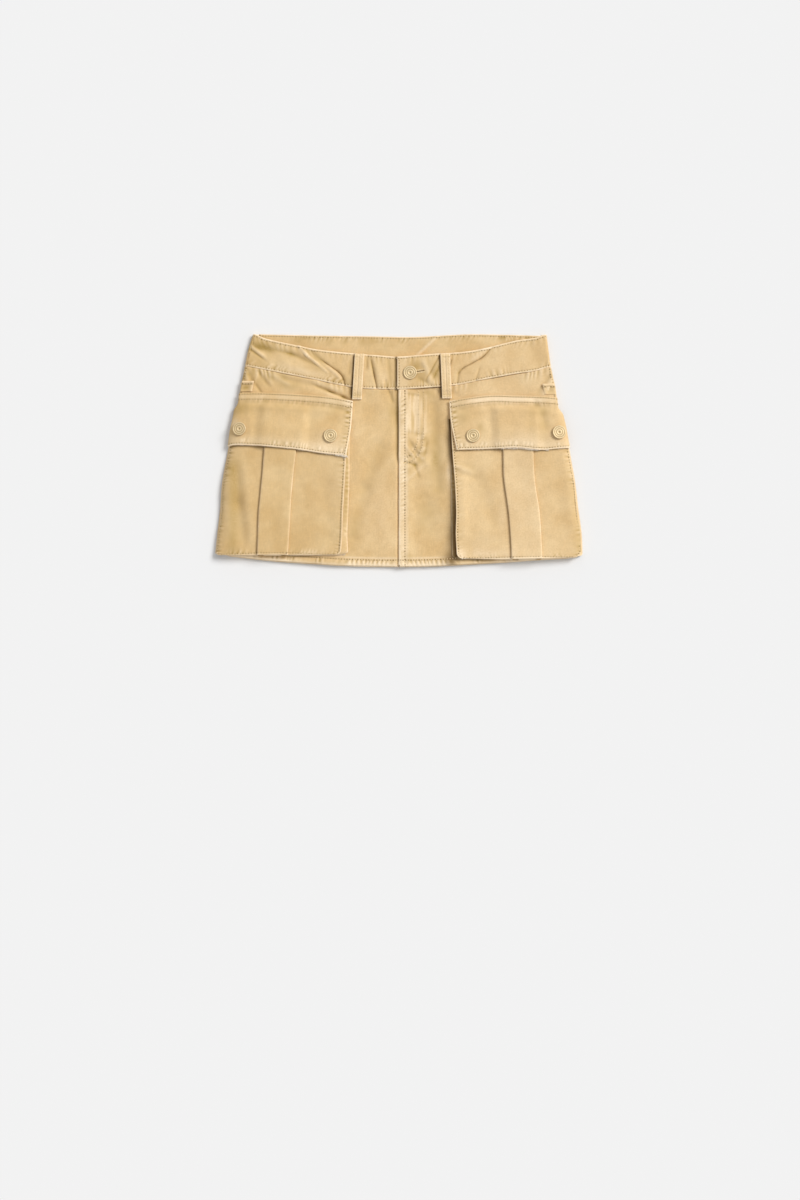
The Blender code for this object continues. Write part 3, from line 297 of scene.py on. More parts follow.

# Patches on the face of each cloth: darker ones of kept dye and painted shade, and paler ones rubbed and
# painted light
Patch = namedtuple("Patch", "x y width height amount")
STAINS_AND_PAINTED_SHADE = {
    "front_panel_left": table(
        Patch,
        (7, -136, 11, 8, 0.6), (-160, 90, 8, 8, 0.35), (-145, 87, 10, 9, 0.6), (-132, 80, 12, 6, 0.35),
        (-192, 96, 7, 7, 0.7), (-57, -102, 7, 18, 0.4), (7, 45, 9, 20, 0.2), (-36, 74, 7, 7, 0.28),
        (-10, 46, 8, 16, 0.4), (-176, 90, 18, 10, 0.38),
    ),
    "front_panel_right": table(
        Patch,
        (7, -136, 11, 8, 0.6), (45, -8, 9, 30, 0.42), (32, -84, 11, 18, 0.3), (50, -50, 13, 40, 0.14),
        (37, 71, 10, 6, 0.55),
    ),
    "waistband_front_left": table(
        Patch,
        (-60, 84, 30, 7, 0.25), (-170, 129, 14, 6, 0.6), (-142, 120, 13, 9, 0.4),
        (-182, 138, 12, 8, 0.5), (-28, 105, 6, 8, 0.4), (-160, 131, 14, 5, 0.3), (-117, 120, 6, 6, 0.45),
        (-176, 112, 18, 22, 0.34), (-104, 115, 12, 6, 0.25), (-120, 100, 40, 6, 0.25),
    ),
    "waistband_front_right": table(
        Patch,
        (28, 99, 18, 14, 0.5), (50, 93, 7, 14, 0.4), (25, 103, 7, 8, 0.5), (46, 103, 6, 9, 0.35),
        (96, 101, 14, 12, -0.25),
    ),
    "pocket_panel_left": table(Patch, (-213, -24, 7, 10, 0.35)),
    "pocket_panel_right": table(Patch, (226, -114, 9, 16, 0.4), (83, -22, 13, 7, 0.35)),
    "pocket_flap_left": table(
        Patch,
        (-206, 52, 14, 9, 0.45), (-150, 54, 50, 7, 0.25), (-189, 53, 8, 8, 0.25), (-76, 53, 14, 7, 0.3),
        (-62, 36, 4, 15, 0.35), (-142, 57, 9, 5, 0.3), (-106, 12, 10, 10, 0.2),
    ),
    "pocket_flap_right": table(
        Patch,
        (173, 40, 13, 20, 0.5), (179, 32, 8, 26, 0.4), (78, 46, 14, 16, 0.5), (102, 27, 6, 7, 0.5),
    ),
}
RUBBED_AND_PAINTED_LIGHT = {
    "waistband_front_left": table(Patch, (-17, 90, 5, 8, 0.2)),
    "pocket_panel_left": table(Patch, (-110, -129, 14, 5, 0.3)),
    "pocket_panel_right": table(
        Patch,
        (75, -131, 8, 8, 0.6), (105, -122, 16, 14, 0.14), (130, -80, 6, 22, 0.16),
    ),
    "pocket_flap_left": table(
        Patch,
        (-92, 2, 28, 18, 0.3), (-61, 61, 8, 5, 0.5), (-204, 33, 6, 6, 0.3),
    ),
    "pocket_flap_right": table(Patch, (160, 12, 34, 14, 0.22)),
}
HEM_SPOT = Patch(6, -136, 11, 7, 0.5)  # not rubbed, below the fly
CORNER_SHADOW = Patch(63, -134, 10, 9, 0.7)  # painted shadow of the right pocket's inner corner on the hem, not rubbed
UNSHADED_FLAP_SPOT = Patch(-92, 2, 30, 20, 0.1)  # the left flap's painted shade is left out here, below its inner button

STEEPEST = 0.6          # sewing shows where the cloth faces up at least this much


def clamp(value, low=0.0, high=1.0):
    return np.clip(value, low, high)


def ease(start, end, at):
    """0 before start, 1 after end and a smooth step between them."""
    t = clamp((at - start) / (end - start))
    return t * t * (3 - 2 * t)


def blend(a, b, t):
    return a + (b - a) * t


def bell(distance, width):
    return np.exp(-(distance / width) ** 2)


def reading(rows, key, column, at):
    """Read one column of a table on a smooth curve through its rows, straight past its ends."""
    xs, ys = np.array(sorted((getattr(row, key), getattr(row, column)) for row in rows), float).T
    slopes = np.empty_like(ys)
    slopes[1:-1] = (ys[2:] - ys[:-2]) / (xs[2:] - xs[:-2])
    slopes[0] = (ys[1] - ys[0]) / (xs[1] - xs[0])
    slopes[-1] = (ys[-1] - ys[-2]) / (xs[-1] - xs[-2])
    at = np.asarray(at, float)
    i = np.clip(np.searchsorted(xs, at) - 1, 0, len(xs) - 2)
    run = xs[i + 1] - xs[i]
    t = (clamp(at, xs[0], xs[-1]) - xs[i]) / run
    inside = ((1 + 2 * t) * (1 - t) ** 2 * ys[i] + t * (1 - t) ** 2 * run * slopes[i]
              + t * t * (3 - 2 * t) * ys[i + 1] + t * t * (t - 1) * run * slopes[i + 1])
    return inside + slopes[0] * np.minimum(at - xs[0], 0) + slopes[-1] * np.maximum(at - xs[-1], 0)


def crease_rise(creases, x, y):
    """Height that the creases add at a point: a bell across each line, tapered past its ends."""
    total = np.zeros(np.broadcast(x, y).shape)
    for crease in creases:
        along_x, along_y = crease.x1 - crease.x0, crease.y1 - crease.y0
        length = math.hypot(along_x, along_y)
        along = ((x - crease.x0) * along_x + (y - crease.y0) * along_y) / length
        across = np.abs((x - crease.x0) * along_y - (y - crease.y0) * along_x) / length
        past = np.maximum(np.maximum(-along, along - length), 0.0)
        taper = min(CREASE_TAPER, 0.35 * length)
        total += crease.rise * bell(across, crease.width) * bell(past, taper)
    return total


def uneven(x, y, size, seed):
    """A smooth uneven field from -1 to 1, whose patches are about a size across."""
    u = np.asarray(x, float) / size + seed * 17.31
    v = np.asarray(y, float) / size + seed * 5.77
    i, j = np.floor(u), np.floor(v)
    fu, fv = ease(0, 1, u - i), ease(0, 1, v - j)

    def corner(a, b):
        spun = np.sin(a * 127.1 + b * 311.7 + seed * 74.7) * 43758.5453
        return (spun - np.floor(spun)) * 2 - 1

    low = blend(corner(i, j), corner(i + 1, j), fu)
    return blend(low, blend(corner(i, j + 1), corner(i + 1, j + 1), fu), fv)


def gathers(along, across, pitch, reach, seed, slant=0.0):
    """The short uneven ridges, from -1 to 1, that a sewn row draws up on both sides of it."""
    at = along + (slant + 0.35 * uneven(along, 0 * along, pitch * 4.0, seed + 2)) * across
    wander = uneven(at, 0 * at, pitch * 1.7, seed) * pitch
    strength = clamp(0.5 + 0.9 * uneven(at, 0 * at, pitch * 1.9, seed + 1), 0.0, 1.3)
    return np.sin(2 * np.pi * (at + wander) / pitch) * strength * bell(across, reach)


def from_line(points, x, y):
    """Distance of each place from a line of points in x and y, and the distance along it."""
    best, place, passed = np.full(np.shape(x), 1e9), np.zeros(np.shape(x)), 0.0
    for (x0, y0), (x1, y1) in zip(points, points[1:]):
        length = math.hypot(x1 - x0, y1 - y0)
        t = clamp(((x - x0) * (x1 - x0) + (y - y0) * (y1 - y0)) / length ** 2)
        off = np.hypot(x - blend(x0, x1, t), y - blend(y0, y1, t))
        nearer = off < best
        best, place = np.where(nearer, off, best), np.where(nearer, passed + t * length, place)
        passed += length
    return best, place


# ---------------- cloth

EDGE_STEPS = (0.0, 0.15, 0.5, 1.0, 1.7, 2.4, 3.1, 4.0, 5.2, 6.4)
EDGE_ROUND = 0.55       # a free edge is rounded over this share of its wall
THINNEST = 0.12         # and is this share of it at its very edge

# Rows and columns of a cloth's grid that fray, each with the one behind it
FIRST_ROWS = ((0, slice(None)), (4, slice(None)))
LAST_ROWS = ((-1, slice(None)), (-4, slice(None)))
FIRST_COLUMNS = ((slice(None), 0), (slice(None), 3))


def stations(length, pitch, first=True, last=True):
    """Distances from 0 to length, closer together beside a finished edge."""
    head = list(EDGE_STEPS) if first else [0.0]
    tail = [length - step for step in reversed(EDGE_STEPS)] if last else [length]
    count = max(int(round((tail[0] - head[-1]) / pitch)), 1)
    middle = [blend(head[-1], tail[0], k / count) for k in range(1, count)]
    return np.array(head + middle + tail)


class Cloth:
    """A cut piece as a grid of points on the middle of its wall, and what its surface shows.

    relief lifts the cloth off the surface it lies on, all its folded layers together.
    worn is rubbed pale and painted light, olive is where dye
    stays and painted shade in troughs and beside raised parts, and pricked is the painted dark
    of each needle hole, deep folds, gaps and cast shadows, each from 0 to 1.
    """

    def __init__(self, name, points, wall):
        self.name, self.wall = name, wall
        self.points = points
        across, down = np.gradient(points, axis=1), np.gradient(points, axis=0)
        normals = np.cross(across, down)
        normals /= np.maximum(np.linalg.norm(normals, axis=2, keepdims=True), 1e-9)
        self.turned = normals[..., 2].mean() < 0
        self.normals = -normals if self.turned else normals
        self.facing = clamp(self.normals[..., 2] * 2.5, -1.0, 1.0)
        self.x, self.y = points[..., 0], points[..., 1]
        steps = np.linalg.norm(np.diff(points, axis=1), axis=2)
        self.across = np.concatenate([np.zeros((len(points), 1)), np.cumsum(steps, axis=1)], axis=1)
        steps = np.linalg.norm(np.diff(points, axis=0), axis=2)
        self.down = np.concatenate([np.zeros((1, points.shape[1])), np.cumsum(steps, axis=0)], axis=0)
        self.relief = np.zeros(points.shape[:2])
        self.worn = np.zeros(points.shape[:2])
        self.olive = np.zeros(points.shape[:2])
        self.pricked = np.zeros(points.shape[:2])
        self.sewn, self.frayed = [], []
        self.edges = {}
        self.mark("first row", self.down, "across")
        self.mark("last row", self.down[-1:] - self.down, "across")
        self.mark("first column", self.across, "down")
        self.mark("last column", self.across[:, -1:] - self.across, "down")

    def mark(self, edge, off, way):
        """Names an edge or a fold: off is each point's distance from it, and way its direction."""
        self.edges[edge] = (off, way)

    def from_edge(self, edge):
        """Distance from a named edge of the cloth, and the distance along that edge."""
        off, way = self.edges[edge]
        return off, self.across if way == "across" else self.down

    def ripple(self, size, depth, seed):
        self.relief += depth * uneven(self.x, self.y, size, seed)

    def rub(self, edge, width, amount, seed):
        """Wear along an edge, broken where the cloth was less exposed."""
        off, along = self.from_edge(edge)
        self.worn += amount * bell(off, width) * (0.75 + 0.35 * uneven(along, off, 7.0, seed))

    def ridge(self, edge, inset, height):
        """The swollen cloth between an edge and its stitches."""
        off, _ = self.from_edge(edge)
        self.relief += height * bell(off - inset * 0.45, inset * 0.42)

    def fray(self, rows, start, end, spacing, length, seed):
        """Loose fibres along part of a row or column of the grid, pointing away from the one behind.

        rows is that pair. start and end are in x for a row and in y for a column.
        """
        self.frayed.append((rows, start, end, spacing, length, seed))

    def near(self, patch):
        """1 at the middle of a patch, falling away over its width and height."""
        return bell(np.hypot((self.x - patch.x) / patch.width, (self.y - patch.y) / patch.height), 1.0)

    def weather(self):
        """The patches of this cloth: kept dye and painted shade, a little cloudy, and places rubbed pale and
        painted light.
        """
        cloudy = 0.7 + 0.5 * uneven(self.x, self.y, 9.0, 19)
        for patch in STAINS_AND_PAINTED_SHADE.get(self.name, ()):
            self.olive += patch.amount * self.near(patch) * cloudy
        for patch in RUBBED_AND_PAINTED_LIGHT.get(self.name, ()):
            self.worn += patch.amount * self.near(patch)

    def gather(self, edge, inset, pitch, depth, reach, seed, slant=0.0):
        off, along = self.from_edge(edge)
        self.draw_up(gathers(along, off - inset, pitch, reach, seed, slant), depth)

    # ridges rubbed pale; troughs darker with kept dye and painted shade
    def draw_up(self, ridges, depth):
        self.relief += depth * ridges
        self.worn += 0.9 * depth * np.maximum(ridges, 0)
        self.olive += 1.9 * depth * np.maximum(-ridges, 0) ** 1.4

    def tint_creases(self, creases, amount):
        """Creases show twice: in their form, and in colour: rubbed pale on ridges, and darker in troughs with
        kept dye and painted shade.
        """
        sharp = [crease for crease in creases if crease.width < SHARP]
        rise = crease_rise(sharp, self.x, self.y)
        rise = rise + 0.3 * (crease_rise(creases, self.x, self.y) - rise)
        self.worn += amount * 0.45 * np.maximum(rise, 0)
        self.olive += amount * 0.6 * np.maximum(-rise, 0)

    def sew(self, edge, inset, trim=(0.0, 0.0), sink=0.3, tint=0.16):
        """A row of stitches along an edge, sunk into the cloth and darkened beside it with painted shade.
        trim leaves its ends out.
        """
        off, along = self.from_edge(edge)
        length = along.max()
        inside = (along > trim[0] - 0.5) & (along < length - trim[1] + 0.5)
        self.relief -= sink * bell(off - inset, 0.8) * inside
        self.pricked += tint * bell(off - inset, 0.9) * inside
        self.sewn.append((edge, inset, trim))

    def face(self):
        return self.points + self.normals * (self.relief * self.facing + self.wall / 2)[..., None]

    def rows_of_stitches(self):
        """The sewn rows as polylines on the outer face."""
        face, lines = self.face(), []
        for edge, inset, trim in self.sewn:
            off, along = self.from_edge(edge)
            across = self.edges[edge][1] == "across"
            line = []
            length = along.max()
            for k in range(face.shape[1] if across else face.shape[0]):
                at = (slice(None), k) if across else (k, slice(None))
                order = np.argsort(off[at])
                distance, place = off[at][order], along[at][order]
                if np.interp(inset, distance, place) < trim[0]:
                    continue
                if np.interp(inset, distance, place) > length - trim[1]:
                    continue
                if np.interp(inset, distance, self.normals[at][order, 2]) < STEEPEST:
                    continue
                line.append([np.interp(inset, distance, face[at][order, axis]) for axis in range(3)])
            lines.append(np.array(line))
        return lines

    def fibres(self):
        """Base, direction and length of every loose fibre, in millimetres."""
        face, found = self.face(), []
        for (row, behind), start, end, spacing, length, seed in self.frayed:
            line, inner = face[row], face[behind]
            axis = 0 if abs(line[-1, 0] - line[0, 0]) > abs(line[-1, 1] - line[0, 1]) else 1
            order = np.argsort(line[:, axis])
            line, inner = line[order], inner[order]
            place = np.arange(start, end, spacing)
            rng = np.random.default_rng(seed)
            place = place + rng.uniform(-0.8, 0.8, len(place)) * spacing
            thick = clamp(0.55 + 0.9 * uneven(place, 0 * place, 9.0, seed))
            place, thick = place[thick > 0.15], thick[thick > 0.15]
            base = np.stack([np.interp(place, line[:, axis], line[:, k]) for k in range(3)], axis=1)
            back = np.stack([np.interp(place, line[:, axis], inner[:, k]) for k in range(3)], axis=1)
            way = base - back
            way[:, 2] = 0.0
            way /= np.maximum(np.linalg.norm(way, axis=1, keepdims=True), 1e-6)
            way = way + rng.normal(0.0, 1.0, way.shape) * (0.75, 0.75, 0.12)
            base[:, 2] -= self.wall * rng.uniform(0.1, 0.7, len(base))
            found.append((base, way, length * thick * rng.uniform(0.4, 1.2, len(base))))
        return [np.concatenate(part) for part in zip(*found)] if found else None

    def build(self, drop=None):
        """A closed wall round the grid, its free edges rounded. drop(i, j) leaves a face out."""
        self.weather()
        n, m = self.points.shape[:2]
        places = (self.points + self.normals * (self.relief * self.facing)[..., None]) * MM
        faces = []
        for i in range(n - 1):
            for j in range(m - 1):
                if drop and drop(i, j):
                    continue
                a, b, c, d = i * m + j, i * m + j + 1, (i + 1) * m + j + 1, (i + 1) * m + j
                faces.append((d, c, b, a) if self.turned else (a, b, c, d))
        mesh = bpy.data.meshes.new(self.name + "_cloth")
        mesh.from_pydata(places.reshape(-1, 3).tolist(), [], faces)
        layer = mesh.uv_layers.new(name="cloth")
        corners = np.empty(len(mesh.loops), int)
        mesh.loops.foreach_get("vertex_index", corners)
        grain = np.stack([self.across, self.down], axis=-1).reshape(-1, 2)[corners] * MM
        layer.data.foreach_set("uv", grain.ravel())
        for label, values in (("worn", self.worn), ("olive", self.olive), ("pricked", self.pricked)):
            attribute = mesh.attributes.new(label, "FLOAT", "POINT")
            attribute.data.foreach_set("value", clamp(values).ravel())
        mesh.shade_smooth()
        cloth = bpy.data.objects.new(self.name + "_cloth", mesh)
        bpy.context.scene.collection.objects.link(cloth)
        cloth.vertex_groups.new(name="edge")
        radius = self.wall * EDGE_ROUND
        nearest = np.minimum(np.minimum(self.down, self.down[-1:] - self.down),
                             np.minimum(self.across, self.across[:, -1:] - self.across))
        share = np.sqrt(clamp(1 - (1 - clamp(nearest / radius)) ** 2))
        share = np.maximum(share, THINNEST).ravel()
        group = cloth.vertex_groups["edge"]
        group.add(np.flatnonzero(share >= 0.999).tolist(), 1.0, "REPLACE")
        for index in np.flatnonzero(share < 0.999):
            group.add([int(index)], float(share[index]), "REPLACE")
        wall = cloth.modifiers.new("wall", "SOLIDIFY")
        wall.thickness = self.wall * MM
        wall.offset = 0.0
        wall.vertex_group = "edge"
        wall.thickness_vertex_group = 0.0
        cloth = settled(cloth)
        places = np.empty(len(cloth.data.vertices) * 3)
        cloth.data.vertices.foreach_get("co", places)
        places = places.reshape(-1, 3)
        places[:, 2] = np.maximum(places[:, 2], 0.0)  # nothing presses into the surface
        cloth.data.vertices.foreach_set("co", places.ravel())
        return cloth


def settled(item):
    """The object with its modifiers turned into its own mesh."""
    depsgraph = bpy.context.evaluated_depsgraph_get()
    mesh = bpy.data.meshes.new_from_object(item.evaluated_get(depsgraph), preserve_all_data_layers=True,
                                           depsgraph=depsgraph)
    mesh.name = item.name
    item.modifiers.clear()
    item.data = mesh
    return item


def grid(rows):
    return np.array(rows, float)


# ---------------- front and back

ARC = np.radians(np.arange(12, 181, 12))  # round a folded side
TURN_ARC = np.radians(np.arange(20, 181, 20))  # round a turned edge


def fold_reach(side, y):
    return reading(FOLD, "y", side.name, y)


def flat_reach(side, y):
    """Where the front stops being flat and starts to go round the folded side."""
    return fold_reach(side, y) - FRONT_FACE / 2


ROUND_SINE = np.concatenate([np.sin(ARC), [0.0, 0.0, 0.0]])
ROUND_COSINE = np.concatenate([np.cos(ARC), [-1.0, -1.0, -1.0]])
ROUND_UNDER = np.concatenate([0 * ARC, [1.3, 2.6, SIDE_TUCK]])


def round_side(side, y, mid, low_mid, half):
    """The columns round a folded side and under it, as (x, z, normal_x, normal_z) arrays."""
    radius = (mid - low_mid) / 2
    centre = fold_reach(side, y) - half - radius
    x = side.sign * (centre + radius * ROUND_SINE - ROUND_UNDER)
    return x, low_mid + radius + radius * ROUND_COSINE + 0 * x, side.sign * ROUND_SINE, ROUND_COSINE


def front_height(side, x, y):
    """Middle of a front panel's wall, with the lap at the centre and the creases."""
    if side is LEFT:
        low = ease(0.0, -20.0, y)
        start = blend(UNDERLAP_RAMP[0], UNDERLAP_RAMP_LOW[0], low)
        end = blend(UNDERLAP_RAMP[1], UNDERLAP_RAMP_LOW[1], low)
        lap = blend(FRONT_MID, UNDERLAP_MID, ease(start, end, x))
    else:
        lap = blend(FLY_MID, FRONT_MID, ease(*FLY_RAMP, x))
    return lap + crease_rise(PANEL_CREASES, x, y)


# Columns of a front panel: by the centre line, then as shares of the way to the folded side
PANEL_SHARES = np.linspace(0.062, 1.0, 142)
LEFT_LAP = np.linspace(UNDERLAP, -11.0, 13)
RIGHT_FACE = np.array([0.0, 0.5, 1.05, 1.7, 2.4, 3.2, 4.1, 5.0, 5.9, 6.8, 7.7, 8.7, 9.8])
FACING = np.linspace(FLY_FACING, 2.4, 6)
FLY_TURN = np.radians(np.arange(180, 360, 20))
HEM_UP = (3.0, 6.0, HEM_DEPTH)
UNDER_BAND = (5.0, 3.6, 2.3, 1.1)  # the panel's seam allowance, tucked under the band,
BAND_DIP = 2.0          # and lower than the face by this much


def panel_section(side, y):
    """(x, z, normal_x, normal_z) of each column of a front panel, each at its own height y."""
    x, z, nx, nz = (np.zeros(len(y)) for _ in range(4))
    if side is RIGHT:
        centre = HALF + TURN
        facing = len(FACING)
        flat = facing + len(FLY_TURN)
        lead = flat + len(RIGHT_FACE)
        top = front_height(side, centre, y[:flat])
        sine, cosine = np.sin(FLY_TURN), np.cos(FLY_TURN)
        x[:facing], z[:facing], nz[:facing] = FACING, top[:facing] - LAYER, -1
        x[facing:flat], z[facing:flat] = centre + TURN * sine, top[facing:] - TURN + TURN * cosine
        nx[facing:flat], nz[facing:flat] = sine, cosine
        x[flat:lead] = centre + RIGHT_FACE
    else:
        flat, lead = 0, len(LEFT_LAP)
        x[:lead] = LEFT_LAP
    end = lead + len(PANEL_SHARES)
    x[lead:end] = side.sign * PANEL_SHARES * flat_reach(side, y[lead:end])
    z[flat:end], nz[flat:end] = front_height(side, x[flat:end], y[flat:end]), 1
    x[end:], z[end:], nx[end:], nz[end:] = round_side(side, y[end:], FRONT_MID, BACK_MID, HALF)
    return x, z, nx, nz


# The fly's two curved rows of stitches, and the creases that they draw up
FLY_CURVE = [(31, 74), (31, 40), (30.5, 14), (26, -3), (17, -13), (9, -17)]
FLY_CURVE_IN = [(24.5, 74), (24.5, 40), (24, 16), (20.5, 2), (14.5, -6), (9, -9)]
FLY_CREASES = table(
    Crease,
    (13, 22, 27, 20, 2.2, -0.8), (29, 24, 27, 12, 1.8, -1.3), (35, 8, 33, -2, 1.6, -1.1),
    (10, -15, 20, -18, 1.6, -1.4), (20, -18, 24, -30, 1.8, -1.1), (14, -34, 27, -22, 2, 0.8),
    (16, 8, 24, -6, 1.8, -1), (10, 4, 18, -8, 1.8, 0.9), (12, 70, 22, 68.5, 1.4, -1),
)


def fly_front(panel):
    """What the fly's sewing does to its front: a ridged edge, rubbed streaks and a curved pucker."""
    x, y = panel.x, panel.y
    panel.rub("fly", width=1.6, amount=1, seed=10)
    panel.gather("fly", inset=5.4, pitch=5, depth=0.5, reach=3.4, seed=11, slant=0.3)
    panel.sew("fly", 7.6)
    panel.ridge("fly", inset=7.6, height=0.3)
    streaked = ease(14.0, 30.0, y) * ease(74.0, 66.0, y) * bell(np.maximum(abs(x - 20.0) - 8.0, 0.0), 7.0)
    streaks = uneven(x * 6.0, y * 0.6, 12.0, 12)
    panel.worn += streaked * clamp(0.2 + 0.45 * streaks)
    panel.olive += 0.35 * streaked * clamp(-streaks)
    off, along = from_line(FLY_CURVE, x, y)
    inner_off, inner_along = from_line(FLY_CURVE_IN, x, y)
    # painted shade along the fly's two curved rows of stitches
    panel.pricked += 0.25 * ease(12, 4, y) * (bell(off, 0.9) + bell(inner_off, 0.8))
    edge = (0.6 - 0.25 * bell(y - 45.0, 18.0)) * ease(13.0, 9.0, x)
    panel.worn += edge * (0.75 + 0.3 * uneven(x, y, 8, 20))
    high = 0.25 + 0.75 * ease(24.0, 14.0, y)
    panel.draw_up(high * gathers(along, off, 8.0, 4.0, 15, 0.2), 0.35)
    panel.draw_up(high * gathers(inner_along, inner_off, 7.0, 3.5, 17, 0.2), 0.25)
    low = ease(30.0, 18.0, y) * ease(-36.0, -20.0, y) * ease(42.0, 30.0, x)
    panel.olive += 0.48 * low * bell(off - 2, 9.5) * clamp(0.45 + 0.9 * uneven(x, y, 6.5, 13))
    panel.worn += 0.6 * low * bell(off + 1, 14) * clamp(0.9 * uneven(x, y * 1.4, 6, 16))
    panel.relief += 0.8 * low * bell(off, 12) * uneven(x * 1.2, y, 8, 14)
    panel.relief += 0.8 * crease_rise(FLY_CREASES, x, y)
    panel.tint_creases(FLY_CREASES, 0.6)
    panel.draw_up(gathers(x, y - 70, 8, 5, 18) * bell(x - 37, 9), 0.35)


def beside_loops(cloth):
    """Painted shadow at a loop's left edge: a dark line where the cloth sinks in under it, and softer painted
    shade beside it.
    """
    for loop in LOOPS:
        along = (cloth.y - loop.foot_y) / (loop.top_y - loop.foot_y)
        edge = blend(loop.foot_x, loop.top_x, along) - LOOP_WIDTH / 2
        ends = ease(0.0, 0.04, along) * ease(1.02, 0.98, along)
        under = bell(cloth.x - edge + 0.6, 1.2) * ends
        shade = bell(np.minimum(cloth.x - edge, 0.0), 4.2) * ease(0.5, -0.5, cloth.x - edge) * ends
        cloth.pricked += under + blend(0.4, 0.2, along) * shade
        cloth.relief -= 0.6 * under


def fly_columns(side):
    """How many columns of a front panel lie at the fly, before its shares."""
    return len(FACING) + len(FLY_TURN) + len(RIGHT_FACE) if side is RIGHT else len(LEFT_LAP)


def front_panel_rows(side, levels):
    """The points of a front panel: tucked under the band, down its face and round the hem."""
    shares = np.array([0.0] * fly_columns(side) + list(PANEL_SHARES) + [1.0] * len(ROUND_SINE))
    seam = reading(FRONT, "x", "seam", side.sign * shares * flat_reach(side, BACK_SEAM)) - SEAM_GAP / 2
    hem = reading(FRONT, "x", "hem", side.sign * shares * flat_reach(side, HEM_Y)) + HALF + TURN
    rows = []
    for above in UNDER_BAND:
        x, z, nx, nz = panel_section(side, seam + above)
        rows.append(np.stack([x - nx * BAND_DIP, seam + above, z - nz * BAND_DIP], axis=1))
    for level in levels:
        y = blend(seam, hem, level)
        dip = BAND_DIP * ease(1.0, 0.1, seam - y)
        x, z, nx, nz = panel_section(side, y)
        rows.append(np.stack([x - nx * dip, y, z - nz * dip], axis=1))
    for angle in TURN_ARC:
        x, z, nx, nz = panel_section(side, hem)
        y, depth = hem - TURN * np.sin(angle), TURN * (1 - np.cos(angle))
        rows.append(np.stack([x - nx * depth, y, z - nz * depth], axis=1))
    for up in HEM_UP:
        x, z, nx, nz = panel_section(side, hem + up)
        rows.append(np.stack([x - nx * LAYER, hem + up, z - nz * LAYER], axis=1))
    return grid(rows)


def right_panel_wear(panel):
    """The fly, and the painted shade, painted light and wear beside the right pocket."""
    x, y = panel.x, panel.y
    fly_front(panel)
    off = x - pocket(RIGHT, "base", y)
    beside_bag = ease(8.0, 0.0, off)
    # painted shadow of the bag on the panel, deeper lower down
    deeper = ease(-58.0, -112.0, y)
    panel.pricked += 0.46 * deeper * bell(np.minimum(off, 0), 7.5) * beside_bag
    # painted shadow of the pocket's inner corner on the hem
    panel.worn *= 1 - CORNER_SHADOW.amount * panel.near(CORNER_SHADOW)
    panel.pricked += 0.3 * panel.near(CORNER_SHADOW)
    # painted shadow beside the bag where the flap's corner stands over it
    by_flap = ease(-20.0, -4.0, y) * ease(30.0, 14.0, y)
    panel.pricked += 0.6 * by_flap * bell(np.minimum(off, 0), 4) * beside_bag
    # painted light, to lighten the bag's shadow here
    panel.worn += 0.45 * bell(off + 2.5, 3) * bell(y + 28, 14)
    # painted shadow under the pocket's lower edge
    under = y - pocket_bottom(RIGHT, np.maximum(x, BAG_START))
    panel.pricked += 0.5 * bell(under + 0.8, 1.2) * ease(66, 72, x) * ease(128, 104, x)
    panel.worn += 0.16 * ease(62, 84, x) * ease(60, 72, y)


def left_panel_wear(panel):
    """The painted shade beside the fly's edge, and the paler cloth between it and the left pocket."""
    x, y = panel.x, panel.y
    panel.olive += 0.6 * bell(x + 1, 3) * ease(-22, -4, y)
    panel.pricked += 0.85 * bell(x + 0.5, 1.1) * ease(-26, 6, y)
    panel.worn += 0.14 * bell(x + 24, 20) * bell(y + 70, 40)


